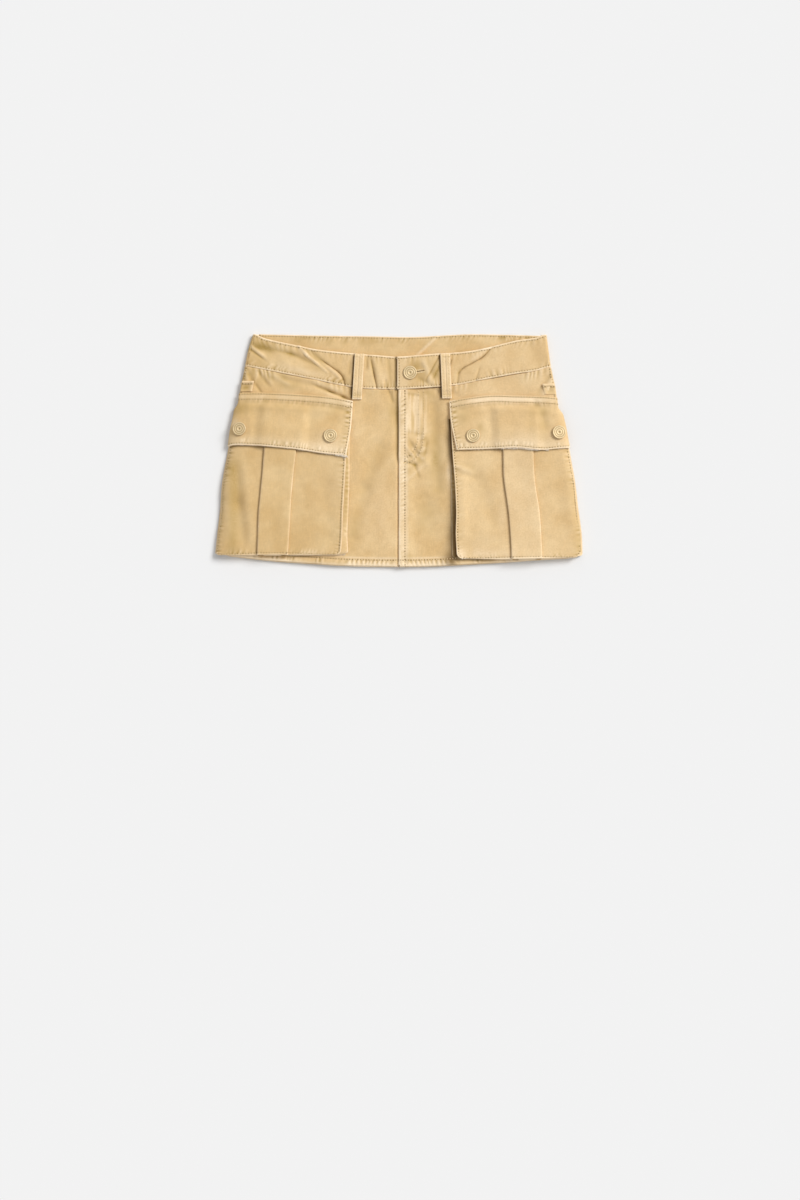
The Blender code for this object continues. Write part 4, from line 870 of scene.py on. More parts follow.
def front_panel(side):
    """Front panel: seam to hem, round the folded side, hem turned up inside."""
    levels = stations(PANEL_LENGTH, 1.45, True, False) / PANEL_LENGTH
    lead = fly_columns(side)
    panel = Cloth("front_panel_" + side.name, front_panel_rows(side, levels), WALL)
    top_row = len(UNDER_BAND)
    last = top_row + len(levels) - 1
    panel.mark("seam", panel.down - panel.down[top_row:top_row + 1], "across")
    fly = lead - len(RIGHT_FACE) if side is RIGHT else 0
    half_turn = TURN * math.pi / 2
    panel.mark("hem", panel.down[last:last + 1] + half_turn - panel.down, "across")
    panel.mark("fly", panel.across - panel.across[:, fly:fly + 1] + half_turn, "down")
    side_column = lead + len(PANEL_SHARES) + len(ARC) // 2
    panel.mark("side", panel.across[:, side_column:side_column + 1] - panel.across, "down")

    panel.ripple(size=46, depth=0.8, seed=3)
    panel.ripple(size=17, depth=0.22, seed=4)
    panel.tint_creases(PANEL_CREASES, 0.5)
    below = panel.from_edge("seam")[0]
    panel.relief += 0.55 * bell(below - 1.6, 1.3) * (below > 0)
    panel.gather("seam", inset=3.5, pitch=7.5, depth=0.30, reach=7, seed=5)
    panel.gather("hem", inset=4, pitch=5.8, depth=0.95, reach=3, seed=6, slant=0.35)
    panel.sew("hem", 7.6)
    panel.ridge("hem", inset=7.6, height=0.5)
    panel.rub("hem", width=2.3, amount=1.3, seed=7)
    panel.rub("hem", width=5, amount=0.2, seed=8)
    above_hem = panel.from_edge("hem")[0]
    panel.worn += 0.5 * bell(above_hem - 10, 1.2)
    beside = ease(60.0, 72.0, abs(panel.x))
    panel.worn += 0.2 * bell(above_hem - 3.5, 3) * (1 - beside)
    # the hem under each pocket painted darker in the pocket's shade, with less wear
    under_pocket_shade = beside * ease(16.0, 9.0, above_hem) * ease(150.0, 120.0, abs(panel.x))
    panel.worn *= 1 - 0.5 * under_pocket_shade
    panel.olive += 0.06 * under_pocket_shade
    panel.worn *= 1 - HEM_SPOT.amount * panel.near(HEM_SPOT)
    beside_loops(panel)
    panel.gather("side", inset=3, pitch=7, depth=0.25, reach=5, seed=9)
    panel.sew("side", 3.4, trim=(6, 12), sink=0.25, tint=0.26)
    if side is RIGHT:
        right_panel_wear(panel)
    else:
        left_panel_wear(panel)
    foot = ((last + 4, slice(None)), (last, slice(None)))
    panel.fray(foot, -76, 64, spacing=0.3, length=1.7, seed=97)
    panel.fray(foot, -200, 200, spacing=1.2, length=1, seed=98)
    hidden = len(FACING) + len(FLY_TURN) if side is RIGHT else 6
    return panel, panel.build(lambda i, j: i >= last and j < hidden)


def back_edge(side, y):
    return flat_reach(side, y) - SIDE_TUCK - SEAM_GAP


def back_panel():
    """Back panel, flat on the surface, with its hem turned up inside."""
    shares = np.linspace(-1, 1, 81)

    def x_at(y):
        return np.where(shares < 0, shares * back_edge(LEFT, y), shares * back_edge(RIGHT, y))

    hem = reading(FRONT, "x", "hem", x_at(HEM_Y)) - BACK_HEM_DROP + HALF + TURN
    rows = []
    for level in np.linspace(0, 1, 60):
        y = blend(BACK_SEAM - SEAM_GAP / 2, hem, level)
        rows.append(np.stack([x_at(y), y, 0 * y + BACK_MID], axis=1))
    for angle in TURN_ARC:
        rows.append(np.stack([x_at(hem), hem - TURN * np.sin(angle),
                              0 * hem + BACK_MID + TURN * (1 - np.cos(angle))], axis=1))
    for up in HEM_UP:
        rows.append(np.stack([x_at(hem + up), hem + up, 0 * hem + BACK_MID + LAYER], axis=1))
    panel = Cloth("back_panel", grid(rows), WALL)
    panel.mark("hem", panel.down[59:60] + TURN * math.pi / 2 - panel.down, "across")
    panel.rub("hem", width=2, amount=0.8, seed=21)
    return panel, panel.build()


# ---------------- waistband

BAND_LEVELS = stations(BAND_LENGTH, 1.0) / BAND_LENGTH
BAND_SHARES = np.linspace(0.05, 1.0, 186)
CORNER_RISE = {"left": 1.3, "right": 2.2}  # the top corner stands up beside the back's
LEFT_BAND_LEAD = np.array([BAND_UNDERLAP, 36, 30, 24, 18, 12, 6, 2, 0, -2, -4, -6, -8])


def band_height(side, x, y):
    """Middle of the front waistband's wall, with the tab's lap and the creases."""
    if side is LEFT:
        lap = blend(BAND_MID, BAND_UNDERLAP_MID, ease(*BAND_RAMP, x))
    else:
        lap = blend(TAB_MID, BAND_MID, ease(*TAB_RAMP, x))
    return lap + crease_rise(BAND_CREASES, x, y)


def waistband_front(side):
    """Half of the front waistband: across the front and round the folded side."""
    if side is LEFT:
        lead = LEFT_BAND_LEAD
    else:
        lead = np.concatenate([-2.0 + np.array(EDGE_STEPS), [5.6, 6.8, 8.2]])
    reach_top, reach_seam = flat_reach(side, WAIST_Y), flat_reach(side, BACK_SEAM)
    columns = []
    for x in lead:
        seam = reading(FRONT, "x", "seam", x) + SEAM_GAP / 2
        y = blend(reading(FRONT, "x", "band_top", x), seam, BAND_LEVELS)
        columns.append((x + 0 * y, y, band_height(side, x + 0 * y, y)))
    for share in BAND_SHARES:
        top = reading(FRONT, "x", "band_top", side.sign * share * reach_top)
        top = top + CORNER_RISE[side.name] * ease(0.93, 1.0, share)
        seam = reading(FRONT, "x", "seam", side.sign * share * reach_seam) + SEAM_GAP / 2
        y = blend(top, seam, BAND_LEVELS)
        x = side.sign * share * flat_reach(side, y)
        columns.append((x, y, band_height(side, x, y)))
    x, z, _, _ = round_side(side, y[:, None], BAND_MID, BAND_LOW_MID, BAND_WALL / 2)
    columns += [(x[:, k], y, z[:, k]) for k in range(len(ROUND_SINE))]
    points = np.stack([np.stack(column, axis=1) for column in columns], axis=1)
    band = Cloth("waistband_front_" + side.name, points, BAND_WALL)
    band.ripple(size=30, depth=0.4, seed=31)
    band.ripple(size=9, depth=0.14, seed=32)
    band.tint_creases(BAND_CREASES, 0.7)
    for edge, depth, seed in (("first row", 0.17, 33), ("last row", 0.32, 35)):
        band.gather(edge, inset=4.5, pitch=6.5, depth=depth, reach=5.5, seed=seed)
        band.sew(edge, 2.4)
        band.ridge(edge, inset=2.4, height=0.3)
        band.rub(edge, width=1.5, amount=1.15, seed=seed + 1)
    beside_loops(band)
    if side is RIGHT:
        tab_wear(band)
    else:
        left_band_wear(band)
    return band, band.build()


def tab_wear(band):
    """The tab's end: sewn down its edge, rubbed pale there and pinched beside the buttonhole."""
    x, y = band.x, band.y
    band.sew("first column", 2.4, trim=(3, 3))
    band.rub("first column", width=1.2, amount=0.9, seed=37)
    band.worn += 0.26 * ease(14, 9, x) * (0.75 + 0.3 * uneven(x, y, 8, 39))
    band.worn += 0.09 * ease(62, 84, x)
    pinch = bell(np.hypot((x - 30.0) / 1.6, y - 99.0), 12.0)
    band.relief += 0.5 * pinch * uneven(x, y, 7, 38)


def left_band_wear(band):
    """The painted shade beside the tab's end, and a paler stretch above the seam."""
    x = band.x
    band.olive += 0.4 * bell(x + 3.5, 2.4)
    band.pricked += 1.1 * bell(x + 2.8, 1.4)
    band.worn += 0.28 * bell(band.from_edge("last row")[0] - 7, 4.5) * bell(x + 122, 26)


BACK_BAND_CREASES = table(
    Crease,
    (44, 139, 25, 121, 1.5, 1.3), (48, 138, 32, 122, 2.5, -0.8), (-90, 138, -70, 126, 8, 0.4),
    (10, 134, 0, 120, 5, -0.4), (96, 136, 120, 132, 4, 0.5),
)
BACK_BAND_FOLD = table(Crease, (44, 139, 25, 121, 1.5, 0.9))  # the only one rubbed pale
BACK_BAND_READ_Y = 144.0  # height at which its columns' top edge is read


def waistband_back():
    """Back waistband, flat, its inside face showing above the dipped front."""
    shares = np.linspace(-1, 1, 200)

    def x_at(y):
        inset = BAND_WALL / 2 + (BAND_MID - BAND_LOW_MID) / 2 + SIDE_TUCK + SEAM_GAP
        reach = np.where(shares < 0, fold_reach(LEFT, y), fold_reach(RIGHT, y))
        return shares * (reach - inset)

    top = reading(BACK_TOP, "x", "y", x_at(BACK_BAND_READ_Y))
    rows = []
    for level in stations(BACK_BAND_LENGTH, 1.6) / BACK_BAND_LENGTH:
        y = blend(top, BACK_SEAM + SEAM_GAP / 2, level)
        rows.append(np.stack([x_at(y), y, 0 * y + BAND_LOW_MID], axis=1))
    band = Cloth("waistband_back", grid(rows), BAND_WALL)
    band.relief += crease_rise(BACK_BAND_CREASES, band.x, band.y)
    band.ripple(size=26, depth=0.3, seed=41)
    band.olive += 0.45 * bell(band.down - 5, 6) * clamp(0.9 * uneven(band.x, band.y * 2, 10, 44))
    band.olive += 0.16 * clamp(uneven(band.x, band.y, 16, 45)) + 0.05
    band.tint_creases(BACK_BAND_FOLD, 1.0)
    band.gather("first row", inset=3.5, pitch=6.5, depth=0.3, reach=4, seed=42)
    band.sew("first row", 2.2)
    band.rub("first row", width=1.1, amount=0.85, seed=43)
    return band, band.build()


def cut_buttonhole(band):
    """Keyhole buttonhole through the tab: a round eye for the shank and a slit beside it."""
    bpy.ops.mesh.primitive_cylinder_add(vertices=24, radius=EYE_RADIUS * MM, depth=CUT_DEPTH * MM)
    eye = bpy.context.object
    eye.location = (BUTTON_AT[0] * MM, BUTTON_AT[1] * MM, TAB_MID * MM)
    bpy.ops.mesh.primitive_cube_add(size=1.0)
    slit = bpy.context.object
    slit.scale = (SLIT_LENGTH * MM, SLIT_SHOWS * SLIT_WIDTH * MM, CUT_DEPTH * MM)
    slit.rotation_euler.z = SLIT_RISE
    slit.location = ((BUTTON_AT[0] + math.cos(SLIT_RISE) * SLIT_LENGTH / 2) * MM,
                     (BUTTON_AT[1] + math.sin(SLIT_RISE) * SLIT_LENGTH / 2) * MM, TAB_MID * MM)
    for cutter in (eye, slit):
        cut = band.modifiers.new("buttonhole", "BOOLEAN")
        cut.operation = "DIFFERENCE"
        cut.object = cutter
    settled(band)
    for cutter in (eye, slit):
        bpy.data.objects.remove(cutter)


# ---------------- belt loops and side patches

Loop = namedtuple("Loop", "side top_x top_y foot_x foot_y")
LOOPS = (Loop(LEFT, -48.8, 120.4, -52.2, 63.4), Loop(RIGHT, 57.8, 120.4, 60.1, 64.6))


def belt_loop(loop):
    """A strap over the band, with both ends turned under and sewn down."""
    seam = reading(FRONT, "x", "seam", loop.top_x)
    under = HALF + SEAM_GAP

    def face(x, y):
        """Outer face of what the loop lies on: the band, then the panel below its seam."""
        band = band_height(loop.side, x, y) + BAND_WALL / 2
        panel = front_height(loop.side, x, y) + HALF
        return blend(panel, band, ease(seam - LOOP_STEP[0], seam - LOOP_STEP[1], y))

    top, foot = loop.top_y - HALF - TURN, loop.foot_y + HALF + TURN
    path = [(top - LOOP_TURN * t, 0.0) for t in (1.0, 0.6, 0.3, 0.0)]
    path += [(top + TURN * math.sin(a), TURN * (1 - math.cos(a))) for a in TURN_ARC[:-1]]
    path += [(y, LAYER) for y in np.linspace(top, foot, 44)]
    path += [(foot - TURN * math.sin(a), TURN * (1 + math.cos(a))) for a in TURN_ARC]
    path += [(foot + LOOP_TURN * t, 0.0) for t in (0.3, 0.6, 1.0)]
    y, rise = np.array(path).T
    x = blend(loop.foot_x, loop.top_x, (y - loop.foot_y) / (loop.top_y - loop.foot_y))
    beside, above = LOOP_CLEAR
    around = [(dx, dy) for dx in (-beside, 0.0, beside) for dy in (-above, 0.0, above)]
    base = under + np.max([face(x + dx, y + dy) for dx, dy in around], axis=0)
    widths = stations(LOOP_WIDTH, 1.1)[:, None] - LOOP_WIDTH / 2
    points = np.stack([x + widths, y + 0 * widths, base + rise + 0 * widths], axis=2).transpose(1, 0, 2)
    strap = Cloth("belt_loop_" + loop.side.name, points, WALL)
    for edge, seed in (("first column", 51), ("last column", 53)):
        strap.sew(edge, 2.6, trim=(9, 9), sink=0, tint=0)
        strap.ridge(edge, inset=2.2, height=0.2)
        strap.rub(edge, width=1.2, amount=0.9, seed=seed)
    strap.relief += 0.25 * bell(widths.T, 2.6)
    strap.worn += 0.45 * bell(widths.T, 4.5) * (0.7 + 0.3 * uneven(strap.x, strap.y, 6, 55))
    strap.worn += 0.8 * bell(y[:, None] - loop.foot_y, 1.6)
    strap.olive += 0.6 * bell(y[:, None] - loop.foot_y - 5.5, 1.6)
    return strap, strap.build()


def side_patch(side):
    """A small square sewn over the side seam, its outer edge over the start of the fold."""
    width, height = PATCH_SIZE
    foot_y = PATCH_FOOT[side.name]
    lift = HALF + SEAM_GAP
    radius = FRONT_FACE / 2 + lift
    rows = []
    for level in stations(height, 1.4) / height:
        y = foot_y + height * (1 - level)
        start = float(flat_reach(side, y))
        row = [(side.sign * (start + PATCH_OVERHANG - width + step), y, FRONT_FACE + lift)
               for step in PATCH_STEPS]
        for angle in np.radians(PATCH_WRAP):
            row.append((side.sign * (start + radius * math.sin(angle)), y,
                        FRONT_FACE / 2 + radius * math.cos(angle)))
        rows.append(row)
    patch = Cloth("side_patch_" + side.name, grid(rows), WALL)
    patch.sew("first row", 3.8, trim=(1, 0), sink=0.5, tint=0.55)
    patch.ridge("first row", inset=4, height=0.7)
    patch.ridge("first column", inset=5, height=0.8)
    patch.rub("first row", width=3, amount=0.45, seed=57)
    patch.rub("first column", width=2.6, amount=0.45, seed=58)
    off = patch.edges["first row"][0]
    inside = bell(off - 8.5, 3.2) * bell(patch.across - 9.0, 4.5)
    patch.relief -= 0.6 * inside
    # the dent inside, painted darker in its shade, most on the left
    patch.olive += (0.9 if side is LEFT else 0.3) * inside
    patch.olive += 0.4 * bell(off - 4.6, 0.9)
    return patch, patch.build()


# ---------------- pockets

PLEAT_ARC = np.radians([30, 60, 90, 120, 150])
ROLL_STEPS = np.radians([0, 8, 16, 24, 32, 40, 48, 56, 63, 70, 76, 81, 85, 88, 90])


def pocket(side, column, y):
    return reading(side.pocket, "y", column, y)


def flap_line(side, column, reach):
    return reading(side.flap, "reach", column, reach)


def pocket_bottom(side, reach):
    t = clamp((reach - BAG_START) / BAG_RUN)
    rise = blend(side.bottom_in, side.bottom_out, t)
    middle = side.bottom_mid - (side.bottom_in + side.bottom_out) / 2
    return rise + middle * 4 * t * (1 - t)


def pocket_mouth(side, reach):
    return flap_line(side, "head", clamp(reach, *FLAP_RUN)) - MOUTH_DROP


def pocket_roll(side, y):
    """Rounding of the bag over the folded side: (start, width, low, height) of its quarter oval."""
    mouth = pocket_mouth(side, SIDE_REACH)
    width = blend(side.roll, MOUTH_ROLL, ease(mouth - MOUTH_ROLL_RUN, mouth, y))
    top = blend(POCKET_MID, MOUTH_MID, 1 - ease(0.0, POCKET_TOP_RISE, mouth - y))
    return pocket(side, "outer", y) - ROLL_INSET - width, width, POCKET_SIDE_END, top - POCKET_SIDE_END


EDGE_LIFT = {"left": 0.5, "right": 2.0}  # the bag's inner edge stands off the skirt


def pocket_height(side, reach, y):
    """Middle of the pocket panel's wall, without its pleat."""
    start, width, low, height = pocket_roll(side, y)
    rise = crease_rise(POCKET_CREASES, side.sign * reach, y)
    sine = clamp((reach - start) / width)
    rolled = low + height * np.sqrt(1 - sine * sine) + rise * (1 - sine)
    mouth = pocket_mouth(side, reach)
    local = blend(MOUTH_MID, POCKET_MID, ease(0.0, POCKET_TOP_RISE, mouth - y))
    near_roll = ease(start - ROLL_LEAD, start, reach)
    lifted = EDGE_LIFT[side.name] * bell(reach - pocket(side, "inner", y), 13.0) * ease(4.0, -22.0, y)
    return np.where(reach > start, rolled, blend(local, low + height, near_roll) + rise + lifted)


def corner_inset(up, radius):
    up = min(up, radius)
    return radius - math.sqrt(radius * radius - (radius - up) ** 2)


INNER_FACE = stations(60.0, 1.6, True, False) / 60.0
PLEAT_FACE = np.linspace(0.0, 1.0, 20)
OUTER_FACE = np.linspace(0.0, 1.0, 18)[1:-1]


def pocket_stations(side, y, inset_in, inset_out):
    """Reaches of one row of the pocket panel with the layer each lies on, pleat folds included."""
    inner = pocket(side, "inner", y) + PANEL_INSET + inset_in
    pleat_in, pleat_out = pocket(side, "pleat_in", y), pocket(side, "pleat_out", y)
    fold_in, fold_out = pleat_in + PLEAT_UNDER, pleat_out - PLEAT_UNDER
    edge_in, edge_out = pleat_in + HALF + TURN, pleat_out - HALF - TURN
    row = [(blend(inner, fold_in, t), 0.0) for t in INNER_FACE]

    def turn(reach, layer, way, outward):
        for angle in PLEAT_ARC:
            row.append((reach + outward * TURN * math.sin(angle),
                        layer * LAYER + way * TURN * (1 - math.cos(angle))))
        row.append((reach, (layer + way) * LAYER))

    turn(fold_in, 0, 1, 1)
    row.append((blend(fold_in, edge_in, 0.5), LAYER))
    row.append((edge_in, LAYER))
    turn(edge_in, 1, 1, -1)
    row.extend([(blend(edge_in, edge_out, t), 2 * LAYER) for t in PLEAT_FACE[1:]])
    turn(edge_out, 2, -1, 1)
    row.append((blend(edge_out, fold_out, 0.5), LAYER))
    row.append((fold_out, LAYER))
    turn(fold_out, 1, -1, -1)
    start, width, _, _ = pocket_roll(side, y)
    end = start + width
    outer = [blend(fold_out, start, t) for t in OUTER_FACE]
    outer += [start + width * math.sin(angle) for angle in ROLL_STEPS]
    squeeze = (end - inset_out - fold_out) / (end - fold_out)
    row.extend([(fold_out + (reach - fold_out) * squeeze, 0.0) for reach in outer])
    return np.array(row, float).T


POCKET_ROWS = stations(180.0, 1.7, True, False)  # distances up from the bag's lower edge


def pocket_grid(side):
    """Reaches, heights across the skirt and layers of the whole pocket panel."""
    guess_bottom = pocket_bottom(side, PLEAT_REACH) + PANEL_INSET
    guess_length = pocket_mouth(side, PLEAT_REACH) - guess_bottom
    reaches, ys, layers = [], [], []
    for up in POCKET_ROWS:
        share = up / POCKET_ROWS[-1]
        rise = up if up < 12.0 else 12.0
        reach, layer = pocket_stations(side, guess_bottom + guess_length * share,
                                       corner_inset(rise, INNER_CORNER), corner_inset(rise, side.corner))
        bottom = pocket_bottom(side, reach) + PANEL_INSET
        reaches.append(reach)
        layers.append(layer)
        ys.append(blend(bottom, pocket_mouth(side, reach), share))
    return np.array(reaches), np.array(ys), np.array(layers)


def left_pocket_wear(panel):
    """Painted shade: darker all over and most of all beside its rounding, with a dark inner seam low down."""
    x, y = panel.x, panel.y
    panel.olive += 0.14 + 0.42 * bell(x + 206.5, 7) * ease(0, -30, y)
    panel.worn += 0.12 * bell(x + 82, 26) * bell(y + 45, 30)
    seam = bell(panel.from_edge("first column")[0] - 2.4, 0.9)
    panel.pricked += 0.35 * seam * ease(-45, -70, y) * ease(-129, -125, y)


def right_pocket_wear(panel):
    """Paler all over with painted light, most of all along its frayed lower edge."""
    x, y = panel.x, panel.y
    panel.worn += 0.06 + 0.25 * bell(y + 129, 5) * ease(88, 98, x) * ease(152, 140, x)
    outer_edge = panel.from_edge("last column")[0]
    panel.olive += 0.3 * bell(outer_edge - 4, 6) * ease(-10, -40, y)
    panel.rub("first row", width=2.4, amount=0.9, seed=62)
    panel.fray(FIRST_ROWS, 73, 84, spacing=0.2, length=1.8, seed=99)
    panel.fray(FIRST_ROWS, 84, 220, spacing=0.9, length=1.1, seed=100)


def pocket_panel(side):
    """Front of the pocket bag with a box pleat folded from the same cloth."""
    reach, y, layer = pocket_grid(side)
    z = pocket_height(side, reach, y) + layer
    panel = Cloth("pocket_panel_" + side.name, np.stack([side.sign * reach, y, z], axis=2), WALL)
    panel.ripple(size=38, depth=0.9, seed=61 + side.sign)
    panel.ripple(size=13, depth=0.2, seed=64)
    panel.tint_creases(POCKET_CREASES, 0.35)
    if side is LEFT:
        left_pocket_wear(panel)
    else:
        right_pocket_wear(panel)
    pleat = len(INNER_FACE) + len(PLEAT_ARC) + 3 + len(PLEAT_ARC) // 2
    panel.mark("pleat_in", panel.across - panel.across[:, pleat:pleat + 1], "down")
    other = pleat + len(PLEAT_ARC) + len(PLEAT_FACE)
    panel.mark("pleat_out", panel.across - panel.across[:, other:other + 1], "down")
    for edge, seed in (("first row", 65), ("first column", 67), ("last column", 69)):
        panel.gather(edge, inset=3.6, pitch=6.2, depth=0.30, reach=4.5, seed=seed)
        panel.sew(edge, 2.4, trim=(3, 3))
        panel.ridge(edge, inset=2.4, height=0.45)
        panel.rub(edge, width=1.2, amount=0.9, seed=seed + 1)
    if side is RIGHT:
        # painted light: the right pocket's raised pleat a little paler
        off_in, off_out = panel.edges["pleat_in"][0], panel.edges["pleat_out"][0]
        panel.worn += 0.16 * ease(0, 2, off_in) * ease(0, -2, off_out)
    for edge, seed in (("pleat_in", 71), ("pleat_out", 73)):
        panel.rub(edge, width=0.9, amount=0.5, seed=seed)
    # painted shadow on the base layer beside the pleat's shaded edge
    pleat_shadow_side = pocket(side, "pleat_in", y) - reach if side is RIGHT else reach - pocket(side, "pleat_out", y)
    panel.pricked += 0.42 * bell(np.maximum(pleat_shadow_side, 0), 1.4) * (pleat_shadow_side > -1) * (layer < 0.2)
    # painted shadow just under the flap's lower edge
    panel.pricked += 0.6 * bell(y - flap_line(side, "lower", reach) + 0.8, 1)
    return panel, panel.build()


GUSSET_LIFT = {"left": 1.0, "right": 0.0}  # 1 stands round and full, 0 is sucked in under the bag


def gusset_path(side):
    """The pocket panel's edge round three sides of the bag, in even steps, and the way it faces."""
    reach, y, _ = pocket_grid(side)
    rows = slice(1, None)
    path_reach = np.concatenate([reach[rows, 0][::-1], reach[0], reach[rows, -1]])
    path_y = np.concatenate([y[rows, 0][::-1], y[0], y[rows, -1]])
    steps = np.concatenate([[0.0], np.cumsum(np.hypot(np.diff(path_reach), np.diff(path_y)))])
    keep = np.concatenate([[True], np.diff(np.maximum.accumulate(steps)) > 1e-6])
    even = np.linspace(0, steps[-1], 330)
    path_reach = np.interp(even, steps[keep], path_reach[keep])
    path_y = np.interp(even, steps[keep], path_y[keep])
    run = np.stack([np.gradient(path_reach), np.gradient(path_y)], axis=1)
    run /= np.linalg.norm(run, axis=1, keepdims=True)
    return even, path_reach, path_y, np.stack([run[:, 1], -run[:, 0]], axis=1)


def under_pleat(side, reach, y):
    """1 where the bag's lower edge lies raised under its pleat, 0 beside it."""
    fold_in = pocket(side, "pleat_in", y) + PLEAT_UNDER
    fold_out = pocket(side, "pleat_out", y) - PLEAT_UNDER
    return ease(fold_in + 2.0, fold_in + 4.5, reach) * ease(fold_out - 2.0, fold_out - 4.5, reach)


def pocket_gusset(side):
    """Strip between the pocket panel's edge and the skirt, round three sides of the bag."""
    even, path_reach, path_y, out = gusset_path(side)
    edge_z = pocket_height(side, path_reach, path_y)
    inside_z = pocket_height(side, path_reach - out[:, 0] * SLOPE_STEP, path_y - out[:, 1] * SLOPE_STEP)
    fall = clamp((inside_z - edge_z) / SLOPE_STEP, 0.0, 8.0)
    length = np.sqrt(1 + fall * fall)
    edge = np.stack([path_reach, path_y, edge_z], axis=1)
    along = np.stack([out[:, 0], out[:, 1], -fall], axis=1) / length[:, None]
    above = np.stack([out[:, 0] * fall, out[:, 1] * fall, 1 + 0 * fall], axis=1) / length[:, None]
    tucked = edge - along * GUSSET_TUCK - above * GUSSET_UNDER
    tucked[:, 2] += 2 * LAYER * under_pleat(side, path_reach, path_y)
    outer, inner = ease(*GUSSET_CORNER, out[:, 0]), ease(*GUSSET_CORNER, -out[:, 0])
    lower = ease(*GUSSET_CORNER, -out[:, 1])
    hem = reading(FRONT, "x", "hem", side.sign * path_reach)
    below = np.maximum(path_y - GUSSET_DROP, hem + HEM_MARGIN)
    foot_reach = blend(path_reach, pocket(side, "base", path_y), inner)
    foot_reach = blend(foot_reach, pocket(side, "outer", path_y) - HALF, outer)
    foot_y = blend(path_y, below, lower)
    on_panel = FRONT_FACE + SEAM_GAP + GUSSET_FOOT
    foot = np.stack([foot_reach, foot_y, blend(on_panel, BACK_MID + SEAM_GAP, outer)], axis=1)
    lift = blend(0.15, GUSSET_LIFT[side.name], inner)
    knee = blend(edge, foot, 0.5)
    knee[:, 2] = blend(foot[:, 2], tucked[:, 2], lift)
    knee[:, :2] += out * (0.9 * lift + 0.5 * uneven(even, 0 * even, 14.0, 75))[:, None]
    rows = []
    for t in np.linspace(0, 1, 12):
        point = (1 - t) ** 2 * tucked + 2 * t * (1 - t) * knee + t * t * foot
        rows.append(np.stack([side.sign * point[:, 0], point[:, 1], point[:, 2]], axis=1))
    strip = Cloth("pocket_gusset_" + side.name, grid(rows), WALL)
    strip.gather("last row", inset=3, pitch=6.2, depth=0.25, reach=3, seed=76)
    strip.rub("last row", width=1.3, amount=0.9, seed=78)
    gusset_wear(strip, side, inner, lower)
    return strip, strip.build()


def gusset_wear(strip, side, inner, lower):
    """Painted shade where it is sucked in under the right bag, a darker khaki along its middle on the left,
    and painted light on its lower side.
    """
    if side is RIGHT:
        strip.olive += 0.6 * ease(128, 104, strip.x)
        strip.worn += 0.5 * ease(104, 128, strip.x) * lower
        shallow = bell(strip.y + 42.0, 24.0)
        strip.pricked += (1.1 - 0.5 * shallow) * inner * bell(strip.down, 9)
        strip.pricked += 0.3 * lower * ease(128, 104, strip.x)
    else:
        pale = ease(-72.0, -104.0, strip.y)
        strip.olive += (0.45 - 0.4 * pale) * inner * bell(strip.down / strip.down[-1:] - 0.5, 0.26)
        strip.worn += 0.3 * lower + 0.05 * pale * inner
        strip.fray(LAST_ROWS, -76, -65, spacing=0.2, length=2, seed=101)


# ---------------- flaps

def flap_roll(side, y):
    """Rounding of the flap over the side, over the skirt's own fold at its head."""
    start, width, low, height = pocket_roll(side, y)
    radius = FRONT_FACE / 2 + SEAM_GAP + FLAP_WALL / 2
    over_bag = (start, width + FLAP_LIFT, low, height + FLAP_LIFT, FLAP_WRAP)
    over_skirt = (flat_reach(side, y), radius, FRONT_FACE / 2, radius, SKIRT_WRAP)
    mouth = pocket_mouth(side, SIDE_REACH)
    t = ease(mouth - HEAD_JOIN[0], mouth + HEAD_JOIN[1], y)
    return tuple(blend(a, b, t) for a, b in zip(over_bag, over_skirt))


def flap_height(side, reach, y):
    """Middle of the flap's wall: the pocket's points moved out, the skirt's at its head."""
    depth = flap_line(side, "head", reach) - y
    over_skirt = FRONT_FACE + SEAM_GAP + FLAP_WALL / 2
    pleat_in, pleat_out = pocket(side, "pleat_in", y), pocket(side, "pleat_out", y)
    rise, fall = pleat_in - PLEAT_EASE, pleat_out + PLEAT_EASE
    pleat = ease(rise, rise + PLEAT_SLOPE, reach) * (1 - ease(fall - PLEAT_SLOPE, fall, reach))
    mouth = pocket_mouth(side, reach)
    bag = blend(MOUTH_MID, POCKET_MID, ease(0.0, POCKET_TOP_RISE, mouth - y)) + FLAP_LIFT
    bag = bag + 2 * LAYER * pleat
    head = HEAD_RISE * (1 - ease(HEAD_BAND - 1.2, HEAD_BAND + 1.2, depth))
    over_bag = ease(HEAD_BAND - 1.0, MOUTH_DROP - 2.0, depth)
    return blend(over_skirt, bag, over_bag) + head + crease_rise(FLAP_CREASES, side.sign * reach, y)


def flap_column(side, place, y):
    """Reach and height of a flap column: place counts 0 to 8 along its marks, then round the side."""
    start, width, low, height, end = flap_roll(side, y)
    inner = reading(side.flap_edge, "y", "reach", y)
    pleat_in, pleat_out = pocket(side, "pleat_in", y), pocket(side, "pleat_out", y)
    rise, fall = pleat_in - PLEAT_EASE, pleat_out + PLEAT_EASE
    marks = [inner, inner + FLAP_EDGE, (inner + rise) / 2, rise, rise + PLEAT_SLOPE,
             (pleat_in + pleat_out) / 2, fall - PLEAT_SLOPE, fall, start]
    if place <= len(marks) - 1:
        index = min(int(place), len(marks) - 2)
        reach = blend(marks[index], marks[index + 1], place - index)
        near = ease(start - FLAP_LEAD, start, reach)
        return reach, blend(flap_height(side, reach, y), low + height, near)
    angle = np.radians(end * (place - (len(marks) - 1)))
    return start + width * np.sin(angle), low + height * np.cos(angle)


